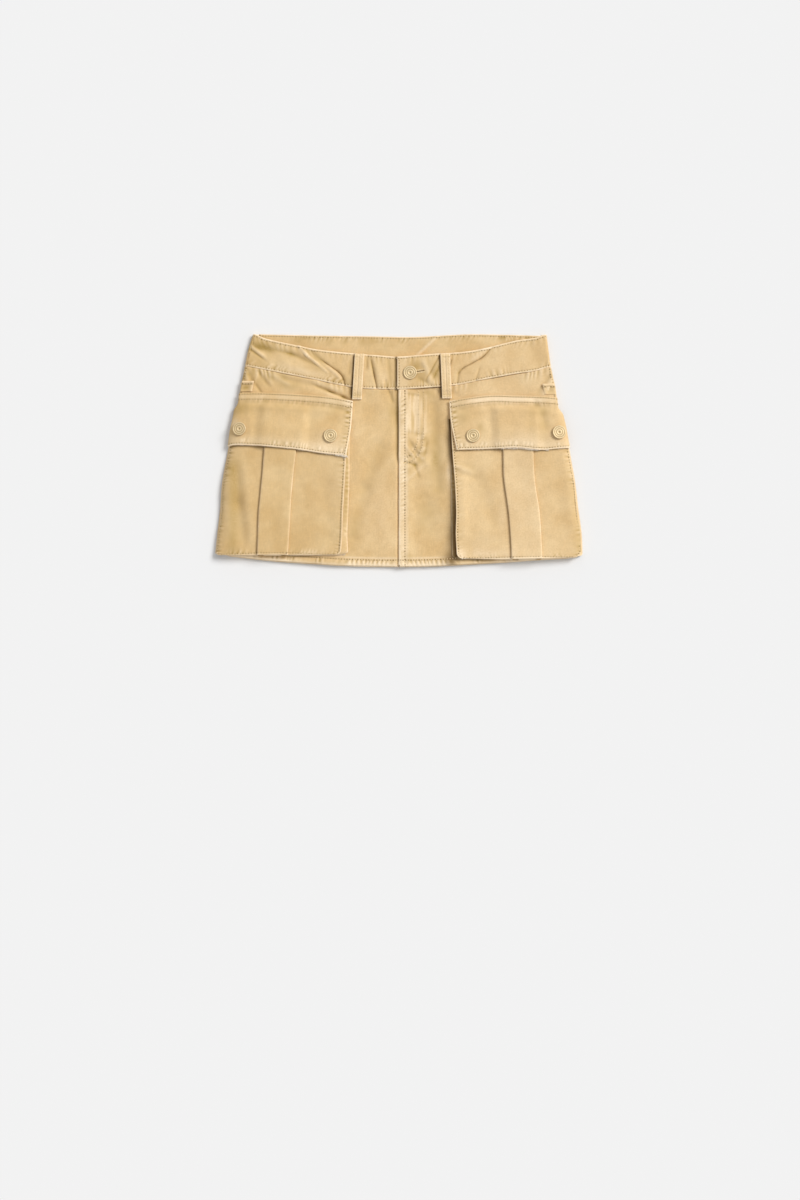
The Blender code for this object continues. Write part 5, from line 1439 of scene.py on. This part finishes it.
# Columns of a flap as places between its marks, closer together along both edges
FLAP_PLACES = [step / FLAP_EDGE for step in EDGE_STEPS]
FLAP_PLACES += [1 + k / 9 for k in range(1, 9)]
FLAP_PLACES += [mark + k / 9 for mark in range(2, 7) for k in range(9)]
FLAP_PLACES += [7 + k / 8 for k in range(8)] + [8 + k / 9 for k in range(9)]
FLAP_PLACES += [8.93, 8.96, 8.985, 9.0]


def flap_wear(flap, side):
    """Loose fibres along its free edges, a tuft of them at the left flap's inner corner. The left flap
    is darker with painted shade except below its inner button; the right one is paler with painted
    light, and paler still along its head.
    """
    if side is LEFT:
        flap.olive += UNSHADED_FLAP_SPOT.amount * (1 - flap.near(UNSHADED_FLAP_SPOT))
        flap.fray(LAST_ROWS, -79, -63, spacing=0.07, length=5.5, seed=91)
        flap.fray(LAST_ROWS, -214, -66, spacing=0.6, length=1.4, seed=92)
        flap.fray(FIRST_COLUMNS, -8, 60, spacing=1, length=1, seed=93)
    else:
        head = bell(flap.down - 5.2, 4.2) * ease(80.0, 100.0, flap.x) * ease(186.0, 170.0, flap.x)
        flap.worn += 0.08 + 0.45 * head
        flap.fray(LAST_ROWS, 128, 186, spacing=0.13, length=3.2, seed=94)
        flap.fray(LAST_ROWS, 70, 214, spacing=0.6, length=1.4, seed=95)


def pocket_flap(side):
    """Flap over the pocket mouth: stitched head band, free lower edge, rounded over the side."""
    columns = []
    even = stations(FLAP_EVEN, 1.6, True, False)
    for place in FLAP_PLACES:
        at, _ = flap_column(side, place, np.array(FLAP_MIDDLE))
        head, lower = flap_line(side, "head", at), flap_line(side, "lower", at)
        rest = (head - FLAP_EVEN - lower) * np.array(FLAP_SHARES)
        y = head - np.concatenate([even, FLAP_EVEN + rest])
        reach, z = flap_column(side, place, y)
        columns.append(np.stack([side.sign * reach, y, z], axis=1))
    flap = Cloth("pocket_flap_" + side.name, np.stack(columns, axis=1), FLAP_WALL)
    flap.ripple(size=34, depth=0.7, seed=81 + side.sign)
    flap.ripple(size=12, depth=0.18, seed=84)
    flap.tint_creases(FLAP_CREASES, 0.35)
    flap_wear(flap, side)
    flap.sew("first row", 2.2)
    flap.sew("first row", 8.6)
    flap.gather("first row", inset=9.5, pitch=7, depth=0.22, reach=4.5, seed=85)
    flap.worn += 0.35 * bell(flap.down - 5.2, 3.4) * (0.7 + 0.3 * uneven(flap.x, flap.y, 5, 86))
    for edge, seed in (("last row", 87), ("first column", 89)):
        flap.gather(edge, inset=5.6, pitch=5, depth=0.55, reach=2.6, seed=seed)
        flap.sew(edge, 2.4, trim=(2.4, 2.4))
        flap.rub(edge, width=1.9, amount=1.6 if edge == "last row" else 1.1, seed=seed + 1)
        off, along = flap.from_edge(edge)
        flap.olive += 0.18 * bell(off - 7, 3) * (0.5 + 0.5 * uneven(along, off, 8, seed + 2))
        if edge == "last row":
            flap.worn += 0.25 * bell(off - 6, 6)
    return flap, flap.build()


def flap_surface(side, reach, y):
    """Middle of the flap at a reach, wherever that lies on its flat or its rounding."""
    start, width, low, height, _ = flap_roll(side, y)
    if reach <= start:
        near = ease(start - BUTTON_LEAD, start, reach)
        z = blend(flap_height(side, reach, y), low + height, near)
    else:
        z = low + height * math.sqrt(1 - clamp((reach - start) / width) ** 2)
    return Vector((side.sign * reach, y, float(z)))


# ---------------- finishes

def linear(code):
    """An sRGB hex colour as linear values."""
    parts = [int(code[k:k + 2], 16) / 255 for k in (1, 3, 5)]
    return [p / 12.92 if p <= 0.04045 else ((p + 0.055) / 1.055) ** 2.4 for p in parts] + [1.0]


def add(tree, kind, sockets=None, **settings):
    """Adds a node. sockets gives each input a value or the output that feeds it."""
    new = tree.nodes.new(kind)
    for key, value in settings.items():
        setattr(new, key, value)
    for key, value in (sockets or {}).items():
        if isinstance(value, bpy.types.NodeSocket):
            tree.links.new(value, new.inputs[key])
        else:
            new.inputs[key].default_value = value
    return new


def new_finish(name, roughness, metallic=0.0):
    finish = bpy.data.materials.new(name)
    finish.use_nodes = True
    shader = finish.node_tree.nodes["Principled BSDF"]
    shader.inputs["Roughness"].default_value = roughness
    shader.inputs["Metallic"].default_value = metallic
    return finish, finish.node_tree, shader


MIX_FACTOR, MIX_A, MIX_B, MIX_RESULT = 0, 6, 7, 2


def mixed(tree, factor, a, b, way="MIX"):
    sockets = {MIX_FACTOR: factor, MIX_A: a, MIX_B: b}
    return add(tree, "ShaderNodeMix", sockets, data_type="RGBA", blend_type=way).outputs[MIX_RESULT]


def spread(tree, value, low, high, to_low=0.0, to_high=1.0):
    sockets = {"Value": value, "From Min": low, "From Max": high, "To Min": to_low, "To Max": to_high}
    return add(tree, "ShaderNodeMapRange", sockets).outputs["Result"]


TWILL_PITCH = 1.1 * MM  # about twice the real thread spacing, so that the ribs show close up
RIB_ANGLE = math.radians(27)  # the ribs climb steeply along the warp
WAVE = 0.31416          # a wave texture of this scale repeats once in each unit


def washed_twill(name, cloth, deep, olive, worn, pricked):
    """Cotton twill, dyed as a garment and washed: matt and a little hairy, with faint steep ribs,
    cloudy dye, a darker khaki of kept dye and painted shade in the folds of its seams, edges rubbed
    to a pale pinkish cream with painted light as well, and a deep brown painted shade in gaps."""
    finish, tree, shader = new_finish(name, 0.92)
    shader.inputs["Sheen Weight"].default_value = 0.18
    shader.inputs["Sheen Roughness"].default_value = 0.45
    shader.inputs["Specular IOR Level"].default_value = 0.25
    grain = add(tree, "ShaderNodeUVMap", uv_map="cloth").outputs["UV"]
    place = add(tree, "ShaderNodeTexCoord").outputs["Object"]
    cloud = add(tree, "ShaderNodeTexNoise", {"Vector": place, "Scale": 30.0, "Detail": 3.0}).outputs["Fac"]
    fleck = add(tree, "ShaderNodeTexNoise", {"Vector": grain, "Scale": 520.0, "Detail": 2.0}).outputs["Fac"]
    stretched = add(tree, "ShaderNodeMapping", {"Vector": grain, "Scale": (700.0, 90.0, 1.0)}).outputs[0]
    slub = add(tree, "ShaderNodeTexNoise", {"Vector": stretched, "Scale": 1.0, "Detail": 2.0}).outputs["Fac"]
    turned = add(tree, "ShaderNodeMapping", {"Vector": grain, "Rotation": (0.0, 0.0, RIB_ANGLE)}).outputs[0]
    ribs = add(tree, "ShaderNodeTexWave", {"Vector": turned, "Scale": WAVE / TWILL_PITCH, "Distortion": 1.4,
                                           "Detail": 1.0, "Detail Scale": 2.0}, bands_direction="X")
    colour = mixed(tree, spread(tree, cloud, 0.35, 0.68), linear(deep), linear(cloth))
    mottle = add(tree, "ShaderNodeTexNoise", {"Vector": place, "Scale": 170.0, "Detail": 2.0}).outputs["Fac"]
    for field, low, high, dark, light in ((mottle, 0.3, 0.7, 0.965, 1.03), (fleck, 0.25, 0.75, 0.93, 1.06),
                                          (slub, 0.3, 0.7, 0.965, 1.03)):
        shade = spread(tree, field, low, high, dark, light)
        grey = add(tree, "ShaderNodeCombineColor", {"Red": shade, "Green": shade, "Blue": shade})
        colour = mixed(tree, 1.0, colour, grey.outputs["Color"], "MULTIPLY")
    patchy = spread(tree, fleck, 0.3, 0.62, 0.75, 1.15)
    # kept dye with painted shade, then rubbed pale with painted light, each patchy
    for attribute, tint in (("olive", olive), ("worn", worn)):
        amount = add(tree, "ShaderNodeAttribute", attribute_name=attribute).outputs["Fac"]
        amount = add(tree, "ShaderNodeMath", {0: amount, 1: patchy}, operation="MULTIPLY", use_clamp=True)
        colour = mixed(tree, amount.outputs[0], colour, linear(tint))
    # a deep brown painted shade in gaps, under edges and in each needle dimple
    holes_and_painted_shade = add(tree, "ShaderNodeAttribute", attribute_name="pricked").outputs["Fac"]
    colour = mixed(tree, spread(tree, holes_and_painted_shade, 0.0, 1.0), colour, linear(pricked))
    tree.links.new(colour, shader.inputs["Base Color"])
    height = add(tree, "ShaderNodeMath", {0: ribs.outputs["Fac"], 1: fleck}, operation="ADD").outputs[0]
    bump = add(tree, "ShaderNodeBump", {"Height": height, "Strength": 0.5, "Distance": 0.12 * MM})
    tree.links.new(bump.outputs["Normal"], shader.inputs["Normal"])
    return finish


def core_spun_thread():
    """Polyester core thread with a cotton wrap, washed with the garment: pale, soft and matt."""
    finish, tree, shader = new_finish("core_spun_thread", 0.85)
    place = add(tree, "ShaderNodeTexCoord").outputs["Object"]
    patchy = add(tree, "ShaderNodeTexNoise", {"Vector": place, "Scale": 160.0, "Detail": 2.0}).outputs["Fac"]
    colour = mixed(tree, spread(tree, patchy, 0.3, 0.7), linear("#DCC08C"), linear("#F2DDB4"))
    tree.links.new(colour, shader.inputs["Base Color"])
    return finish


def loose_cotton():
    """Undyed cotton from inside the cloth, where its edges have frayed."""
    finish, _, shader = new_finish("undyed_cotton_fibre", 0.95)
    shader.inputs["Base Color"].default_value = linear("#FFF2DE")
    return finish


def needle_hole():
    """Painted shade in the dimple of a needle hole, as a dark cloth colour."""
    finish, _, shader = new_finish("needle_pricked_cotton", 0.95)
    shader.inputs["Base Color"].default_value = linear("#7E6030")
    return finish


def lacquered_brass():
    """Stamped brass with a matt khaki lacquer: soft broad highlights, dirt and painted shade in the rings,
    painted shade on the sides.
    """
    finish, tree, shader = new_finish("khaki_lacquered_brass", 0.5, 0.25)
    place = add(tree, "ShaderNodeTexCoord").outputs["Object"]
    patchy = add(tree, "ShaderNodeTexNoise", {"Vector": place, "Scale": 500.0, "Detail": 3.0}).outputs["Fac"]
    groove = add(tree, "ShaderNodeAttribute", attribute_name="groove").outputs["Fac"]
    colour = mixed(tree, spread(tree, patchy, 0.3, 0.7), linear("#D8BE90"), linear("#E6D0A6"))
    colour = mixed(tree, groove, colour, linear("#A98D5C"))
    tree.links.new(colour, shader.inputs["Base Color"])
    bump = add(tree, "ShaderNodeBump", {"Height": patchy, "Strength": 0.25, "Distance": 0.08 * MM})
    tree.links.new(bump.outputs["Normal"], shader.inputs["Normal"])
    return finish


# ---------------- buttons

ButtonRing = namedtuple("ButtonRing", "radius height groove")
BUTTON_FACE = table(
    ButtonRing,
    (0.0, 0.7, 0.9), (0.7, 0.8, 0.9), (1.2, 1.2, 0.4), (1.9, 1.6, 0.0), (2.6, 1.7, 0.0),
    (3.2, 1.6, 0.1), (3.7, 1.35, 0.8), (4.2, 1.35, 0.8), (4.6, 1.55, 0.1), (5.1, 1.7, 0.0),
    (5.6, 1.6, 0.1), (6.1, 1.35, 0.7), (6.5, 1.35, 0.8), (6.9, 1.6, 0.1), (7.4, 1.75, 0.0),
    (7.9, 1.7, 0.1), (8.3, 1.5, 0.3), (8.5, 1.15, 0.6), (8.5, 0.7, 0.8), (8.2, 0.3, 0.8),
    (7.4, 0.0, 0.8),
)


def turned_button(name, centre, normal, shank):
    """A tack button: a rimmed cap with raised rings and a dished middle, on a round shank."""
    profile = [(ring.radius, shank + ring.height) for ring in BUTTON_FACE]
    profile += [(SHANK_RADIUS, shank), (SHANK_RADIUS, 0.0), (0.0, 0.0)]
    mesh = bpy.data.meshes.new(name)
    edges = [(k, k + 1) for k in range(len(profile) - 1)]
    mesh.from_pydata([(r * MM, 0.0, h * MM) for r, h in profile], edges, [])
    button = bpy.data.objects.new(name + "_turned", mesh)
    bpy.context.scene.collection.objects.link(button)
    screw = button.modifiers.new("turned", "SCREW")
    screw.steps = screw.render_steps = BUTTON_SIDES
    screw.use_merge_vertices = True
    screw.merge_threshold = WELD
    settled(button)
    mesh = button.data
    radii = [math.hypot(vert.co.x, vert.co.y) / MM for vert in mesh.vertices]
    faces_up = [vert.co.z / MM > shank + 0.5 for vert in mesh.vertices]
    table = np.array([(ring.radius, ring.groove) for ring in BUTTON_FACE[:18]])
    # darker in the rings with dirt and painted shade, and painted shade on every face but the top
    ring_dirt_and_shade_by_point = [float(np.interp(r, table[:, 0], table[:, 1])) if up else 0.4 for r, up in zip(radii, faces_up)]
    mesh.attributes.new("groove", "FLOAT", "POINT").data.foreach_set("value", ring_dirt_and_shade_by_point)
    turn = Vector((0, 0, 1)).rotation_difference(normal).to_matrix().to_4x4()
    turn.translation = centre * MM
    mesh.transform(turn)
    mesh.shade_smooth()
    return button


FlapButton = namedtuple("FlapButton", "side place reach y")
FLAP_BUTTONS = table(
    FlapButton,
    (LEFT, "outer", 198.0, 26.3), (LEFT, "inner", 85.0, 18.0),
    (RIGHT, "inner", 92.5, 18.0), (RIGHT, "outer", 199.4, 22.0),
)


def flap_button(button):
    """A button on the flap, standing square to the cloth under it."""
    side, reach, y = button.side, button.reach, button.y
    across = flap_surface(side, reach + SEAT_STEP, y) - flap_surface(side, reach - SEAT_STEP, y)
    along = flap_surface(side, reach, y + SEAT_STEP) - flap_surface(side, reach, y - SEAT_STEP)
    normal = (across.cross(along) * side.sign).normalized()
    seat = flap_surface(side, reach, y) + normal * (FLAP_WALL / 2 + SEAM_GAP + BUTTON_CLEAR)
    return turned_button("flap_button_" + side.name + "_" + button.place, seat, normal, FLAP_SHANK)


def waist_button():
    """The waist button: its shank goes through the tab's buttonhole to the band below."""
    seat = BAND_UNDERLAP_MID + BAND_WALL / 2 + SEAM_GAP
    cap_underside = TAB_MID + BAND_WALL / 2 + SEAM_GAP
    return turned_button("waist_button", Vector((*BUTTON_AT, seat)), Vector((0, 0, 1)), cap_underside - seat)


# ---------------- sewing

STITCH_PITCH = 3.4 * MM  # a little more than the real 2.6, so that single stitches show
HOLE_SINK = 0.15


SEWING_SIZES = (("Pitch", STITCH_PITCH), ("Stitch Length", 1.8 * MM), ("Thread Width", 0.95 * MM),
                ("Hole Width", 1.4 * MM), ("Turn", 0.0))
STRAY = (0.07, 0.07, 0.04)  # how far a stitch's direction strays
FLY_FOOT_BAR = [(6, -15.5), (12, -13.5)]
BAR_STEP = 0.8
BAR_SIZES = {"Pitch": BAR_STEP * MM, "Turn": math.radians(90), "Stitch Length": 2.4 * MM,
             "Thread Width": 0.7 * MM, "Hole Width": 0.0}


def laid(tree, sockets, material):
    """A shape laid at points, as plain mesh in one material."""
    made = add(tree, "GeometryNodeInstanceOnPoints", sockets).outputs[0]
    made = add(tree, "GeometryNodeRealizeInstances", {"Geometry": made}).outputs[0]
    return add(tree, "GeometryNodeSetMaterial", {"Geometry": made, "Material": material}).outputs[0]


def sewing_tree():
    """Stitches laid along rows: even lengths of thread, each a little off its neighbours,
    with a dark piece of painted shade sunk at each needle hole between them.
    """
    tree = bpy.data.node_groups.new("sewn_rows", "GeometryNodeTree")

    def socket(label, kind, way="INPUT"):
        return tree.interface.new_socket(label, in_out=way, socket_type="NodeSocket" + kind)

    socket("Rows", "Geometry")
    for label, value in SEWING_SIZES:
        socket(label, "Float").default_value = value
    socket("Seed", "Int").default_value = 1
    socket("Thread", "Material")
    socket("Hole", "Material")
    socket("Stitches", "Geometry", "OUTPUT")
    given = tree.nodes.new("NodeGroupInput").outputs
    rows = add(tree, "GeometryNodeMeshToCurve", {"Mesh": given["Rows"]}).outputs[0]
    even = add(tree, "GeometryNodeResampleCurve", {"Curve": rows, "Length": given["Pitch"]}, mode="LENGTH")
    even = even.outputs[0]
    stitch = add(tree, "GeometryNodeMeshUVSphere", {"Segments": 6, "Rings": 4, "Radius": 0.5}).outputs[0]
    tangent = add(tree, "GeometryNodeInputTangent").outputs[0]
    sockets = {"Vector": tangent, "Axis": (0.0, 0.0, 1.0), "Angle": given["Turn"]}
    way = add(tree, "ShaderNodeVectorRotate", sockets, rotation_type="AXIS_ANGLE").outputs[0]
    sockets = {0: [-share for share in STRAY], 1: STRAY, "Seed": given["Seed"]}
    stray = add(tree, "FunctionNodeRandomValue", sockets, data_type="FLOAT_VECTOR").outputs[0]
    way = add(tree, "ShaderNodeVectorMath", {0: way, 1: stray}, operation="ADD").outputs[0]
    lie = add(tree, "FunctionNodeAlignRotationToVector", {"Vector": way}, axis="Z").outputs[0]
    width = given["Thread Width"]
    size = add(tree, "ShaderNodeCombineXYZ", {"X": width, "Y": width, "Z": given["Stitch Length"]}).outputs[0]
    sewn = laid(tree, {"Points": even, "Instance": stitch, "Rotation": lie, "Scale": size}, given["Thread"])
    half = add(tree, "ShaderNodeMath", {0: given["Pitch"], 1: 0.5}, operation="MULTIPLY").outputs[0]
    ahead = add(tree, "ShaderNodeVectorMath", {0: tangent, "Scale": half}, operation="SCALE").outputs[0]
    ahead = add(tree, "ShaderNodeVectorMath", {0: ahead, 1: (0.0, 0.0, -HOLE_SINK * MM)}, operation="ADD")
    between = add(tree, "GeometryNodeSetPosition", {"Geometry": even, "Offset": ahead.outputs[0]}).outputs[0]
    width = given["Hole Width"]
    wide = add(tree, "ShaderNodeCombineXYZ", {"X": width, "Y": width, "Z": width}).outputs[0]
    last = add(tree, "GeometryNodeCurveEndpointSelection", {"Start Size": 0, "End Size": 1}).outputs[0]
    pair = add(tree, "FunctionNodeBooleanMath", {0: last}, operation="NOT").outputs[0]
    sockets = {"Points": between, "Selection": pair, "Instance": stitch, "Rotation": lie, "Scale": wide}
    holes_and_painted_shade = laid(tree, sockets, given["Hole"])
    # the dark needle-hole pieces, painted shade, are laid only where they have a width
    pricked = add(tree, "FunctionNodeCompare", {0: width, 1: 0.1 * MM}, operation="GREATER_THAN").outputs[0]
    holes_and_painted_shade = add(tree, "GeometryNodeSwitch", {"Switch": pricked, "True": holes_and_painted_shade}, input_type="GEOMETRY")
    both = tree.nodes.new("GeometryNodeJoinGeometry")
    for part in (holes_and_painted_shade.outputs[0], sewn):
        tree.links.new(part, both.inputs[0])
    threaded = add(tree, "GeometryNodeSetShadeSmooth", {"Geometry": both.outputs[0]}).outputs[0]
    end = tree.nodes.new("NodeGroupOutput")
    tree.links.new(threaded, end.inputs["Stitches"])
    return tree


def sewing(name, rows, tree, thread, hole, sizes):
    """Rows of stitches through lines of points in millimetres, as one plain mesh."""
    points, edges = [], []
    for row in rows:
        start = len(points)
        points += [tuple(point * MM) for point in row]
        edges += [(k, k + 1) for k in range(start, len(points) - 1)]
    mesh = bpy.data.meshes.new(name)
    mesh.from_pydata(points, edges, [])
    item = bpy.data.objects.new(name, mesh)
    bpy.context.scene.collection.objects.link(item)
    nodes = item.modifiers.new("sewing", "NODES")
    nodes.node_group = tree
    values = {"Thread": thread, "Hole": hole, **sizes}
    for socket in tree.interface.items_tree:
        if socket.in_out == "INPUT" and socket.name in values:
            nodes[socket.identifier] = values[socket.name]
    return settled(item)


def fraying(name, fibres, thread):
    """Loose fibres as slender tapered spikes, each bent once."""
    base, way, length = fibres
    count = len(base)
    rng = np.random.default_rng(count)
    way = way / np.linalg.norm(way, axis=1, keepdims=True)
    side = np.cross(way, (0.0, 0.0, 1.0))
    side /= np.maximum(np.linalg.norm(side, axis=1, keepdims=True), 1e-6)
    up = np.cross(side, way)
    bend = side * rng.uniform(-0.5, 0.5, (count, 1)) * length[:, None]
    middle = base + way * length[:, None] * 0.55 + bend * 0.3
    tip = base + way * length[:, None] + bend
    rings = []
    for centre, radius in ((base, 0.16), (middle, 0.11)):
        for angle in (0.5, 2.6, 4.7):
            rings.append(centre + radius * (side * math.cos(angle) + up * math.sin(angle)))
    points = np.stack(rings + [tip], axis=1).reshape(-1, 3) * MM
    shape = [(0, 1, 4, 3), (1, 2, 5, 4), (2, 0, 3, 5), (3, 4, 6), (4, 5, 6), (5, 3, 6), (2, 1, 0)]
    faces = [tuple(7 * k + corner for corner in face) for k in range(count) for face in shape]
    mesh = bpy.data.meshes.new(name)
    mesh.from_pydata(points.tolist(), [], faces)
    mesh.shade_smooth()
    item = bpy.data.objects.new(name, mesh)
    bpy.context.scene.collection.objects.link(item)
    item.data.materials.append(thread)
    return item


class Ground:
    """The outer faces of finished pieces, to lay things on from above."""

    def __init__(self, *items):
        self.trees = []
        for item in items:
            mesh = item.data
            places = np.empty(len(mesh.vertices) * 3)
            mesh.vertices.foreach_get("co", places)
            faces = [tuple(face.vertices) for face in mesh.polygons]
            self.trees.append(BVHTree.FromPolygons(places.reshape(-1, 3).tolist(), faces))

    def at(self, x, y):
        hits = [tree.ray_cast(Vector((x * MM, y * MM, 0.05)), Vector((0, 0, -1)))[0] for tree in self.trees]
        return max((hit.z / MM for hit in hits if hit is not None), default=None)

    def line(self, points, step=1.5):
        """Points in x and y joined by straight runs, laid on the faces."""
        laid = []
        for (x0, y0), (x1, y1) in zip(points, points[1:]):
            count = max(int(math.hypot(x1 - x0, y1 - y0) / step), 1)
            for k in range(count + 1):
                x, y = blend(x0, x1, k / count), blend(y0, y1, k / count)
                z = self.at(x, y)
                if z is not None and (not laid or math.hypot(x - laid[-1][0], y - laid[-1][1]) > 0.05):
                    laid.append((x, y, z))
        return np.array(laid)


def curve_through(points, count=40):
    """A smooth line through points in x and y."""
    points = np.array(points, float)
    at = np.concatenate([[0.0], np.cumsum(np.hypot(*np.diff(points, axis=0).T))])
    Knot = namedtuple("Knot", "at x y")
    knots = [Knot(a, x, y) for a, (x, y) in zip(at, points)]
    fine = np.linspace(0, at[-1], count)
    return list(zip(reading(knots, "at", "x", fine), reading(knots, "at", "y", fine)))


# ---------------- the skirt

# The cut of what shows of each piece, in metres and square metres
Sheet = namedtuple("Sheet", "width length area rests_on")
SHEETS = {
    "back_panel": Sheet(0.429, 0.2585, None, []),
    "waistband_back": Sheet(0.367, 0.0436, None, []),
    "front_panel_left": Sheet(0.238, 0.2535, None, ["back_panel"]),
    "front_panel_right": Sheet(0.238, 0.2555, None, ["back_panel", "front_panel_left"]),
    "waistband_front_left": Sheet(0.249, 0.0455, None, ["waistband_back"]),
    "waistband_front_right": Sheet(0.202, 0.0425, None, ["waistband_back", "waistband_front_left"]),
    "side_patch_left": Sheet(0.0151, 0.0137, None, ["front_panel_left"]),
    "side_patch_right": Sheet(0.0151, 0.0137, None, ["front_panel_right"]),
    "pocket_panel_left": Sheet(0.192, 0.1855, None, ["front_panel_left"]),
    "pocket_panel_right": Sheet(0.194, 0.1855, None, ["front_panel_right"]),
    "pocket_gusset_left": Sheet(0.547, 0.0125, 0.0034, ["front_panel_left"]),
    "pocket_gusset_right": Sheet(0.5435, 0.01, 0.0031, ["front_panel_right"]),
    "pocket_flap_left": Sheet(0.1515, 0.072, None, ["pocket_panel_left", "front_panel_left"]),
    "pocket_flap_right": Sheet(0.1455, 0.0695, None, ["pocket_panel_right", "front_panel_right"]),
    "belt_loop_left": Sheet(0.0136, 0.0715, None, ["waistband_front_left", "front_panel_left"]),
    "belt_loop_right": Sheet(0.0136, 0.07, None, ["waistband_front_right", "front_panel_right"]),
}


def cut_pieces():
    """Every cut piece, as (cloth, object)."""
    made = [back_panel(), waistband_back()]
    for side in SIDES:
        made += [front_panel(side), waistband_front(side), side_patch(side)]
        made += [pocket_panel(side), pocket_gusset(side), pocket_flap(side)]
    return made + [belt_loop(loop) for loop in LOOPS]


def hand_in(item, replaced=None):
    """Attaches a finished piece to the root, and hides the part that it takes the place of."""
    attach(item, "root")
    if replaced:
        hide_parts(replaced)


def finish_cloth(cloth, item, twill, sew, fluff):
    """One cut piece with its own rows of stitches and loose fibres."""
    item.data.materials.clear()
    item.data.materials.append(twill)
    rows = [row for row in cloth.rows_of_stitches() if len(row) > 1]
    goes_with = []
    if rows:
        sizes = {"Hole Width": 0.0} if "belt_loop" in cloth.name else {}
        goes_with.append(sew("stitching_" + cloth.name, rows, sizes))
    fibres = cloth.fibres()
    if fibres is not None:
        goes_with.append(fraying("fraying_" + cloth.name, fibres, fluff))
    for loose in goes_with:
        hand_in(loose)
    hand_in(item, cloth.name)
    cut = SHEETS[cloth.name]
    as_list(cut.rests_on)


def bartack_rows(pieces):
    """The bars: at the fly's foot, across both ends of the loops and beside the buttonhole."""
    ground = Ground(pieces["front_panel_right"], pieces["belt_loop_left"], pieces["belt_loop_right"])
    bars = [ground.line(FLY_FOOT_BAR, BAR_STEP)]
    for loop in LOOPS:
        for y in (loop.foot_y + 3.2, loop.top_y - 3.5):
            bars.append(ground.line([(loop.foot_x - 4.5, y), (loop.foot_x + 4.5, y)], BAR_STEP))
    tab = Ground(pieces["waistband_front_right"])
    way = Vector((math.cos(SLIT_RISE), math.sin(SLIT_RISE)))
    for off in (-1.5, 1.5):
        start = Vector(BUTTON_AT) + way * 6.0 + way.orthogonal() * off
        bars.append(tab.line([start, start + way * 12.0], BAR_STEP))
    return bars


def main():
    tree = sewing_tree()
    twill = washed_twill("washed_cotton_twill", "#E0C292", "#D4B27E", "#A98B4E", "#F8E1BE", "#5E4420")
    thread = core_spun_thread()
    hole = needle_hole()
    fluff = loose_cotton()
    brass = lacquered_brass()

    def sew(name, rows, sizes):
        return sewing(name, rows, tree, thread, hole, sizes)

    made = cut_pieces()
    pieces = {cloth.name: item for cloth, item in made}
    cut_buttonhole(pieces["waistband_front_right"])
    for cloth, item in made:
        finish_cloth(cloth, item, twill, sew, fluff)

    ground = Ground(pieces["front_panel_right"])
    fly_rows = [ground.line(curve_through(line)) for line in (FLY_CURVE, FLY_CURVE_IN)]
    fly = sew("stitching_fly", fly_rows, {"Seed": 5, "Hole Width": 0.9 * MM})
    bars = sew("bartacks", bartack_rows(pieces), BAR_SIZES)
    for item in (fly, bars):
        hand_in(item)

    for button in [waist_button()] + [flap_button(button) for button in FLAP_BUTTONS]:
        button.data.materials.append(brass)
        hand_in(button, button.name.removesuffix("_turned"))


def studio():
    """A pale floor, soft light from the upper right and a camera straight above."""
    bpy.ops.mesh.primitive_plane_add(size=40.0)
    floor = bpy.context.object
    floor.name = "floor"
    floor.location.z = -0.0003
    paper, _, shader = new_finish("white_backdrop_paper", 0.95)
    shader.inputs["Base Color"].default_value = (0.8, 0.8, 0.8, 1.0)
    shader.inputs["Specular IOR Level"].default_value = 0.0
    floor.data.materials.append(paper)

    sun = bpy.data.objects.new("key", bpy.data.lights.new("key", "SUN"))
    sun.data.energy = 2.6
    sun.data.angle = math.radians(26)
    sun.rotation_euler = Vector((0.66, 0.45, 0.68)).to_track_quat("Z", "Y").to_euler()
    bpy.context.scene.collection.objects.link(sun)

    world = bpy.data.worlds.new("studio")
    world.use_nodes = True
    world.node_tree.nodes["Background"].inputs["Color"].default_value = (1.0, 1.0, 1.0, 1.0)
    world.node_tree.nodes["Background"].inputs["Strength"].default_value = 0.575
    bpy.context.scene.world = world

    camera = bpy.data.objects.new("camera", bpy.data.cameras.new("camera"))
    camera.data.lens = 72.0
    camera.data.sensor_width = 36.0
    camera.location = (0.0016, -0.1866, 3.0)
    bpy.context.scene.collection.objects.link(camera)
    bpy.context.scene.camera = camera
    bpy.context.scene.view_settings.view_transform = "Standard"


main()
studio()
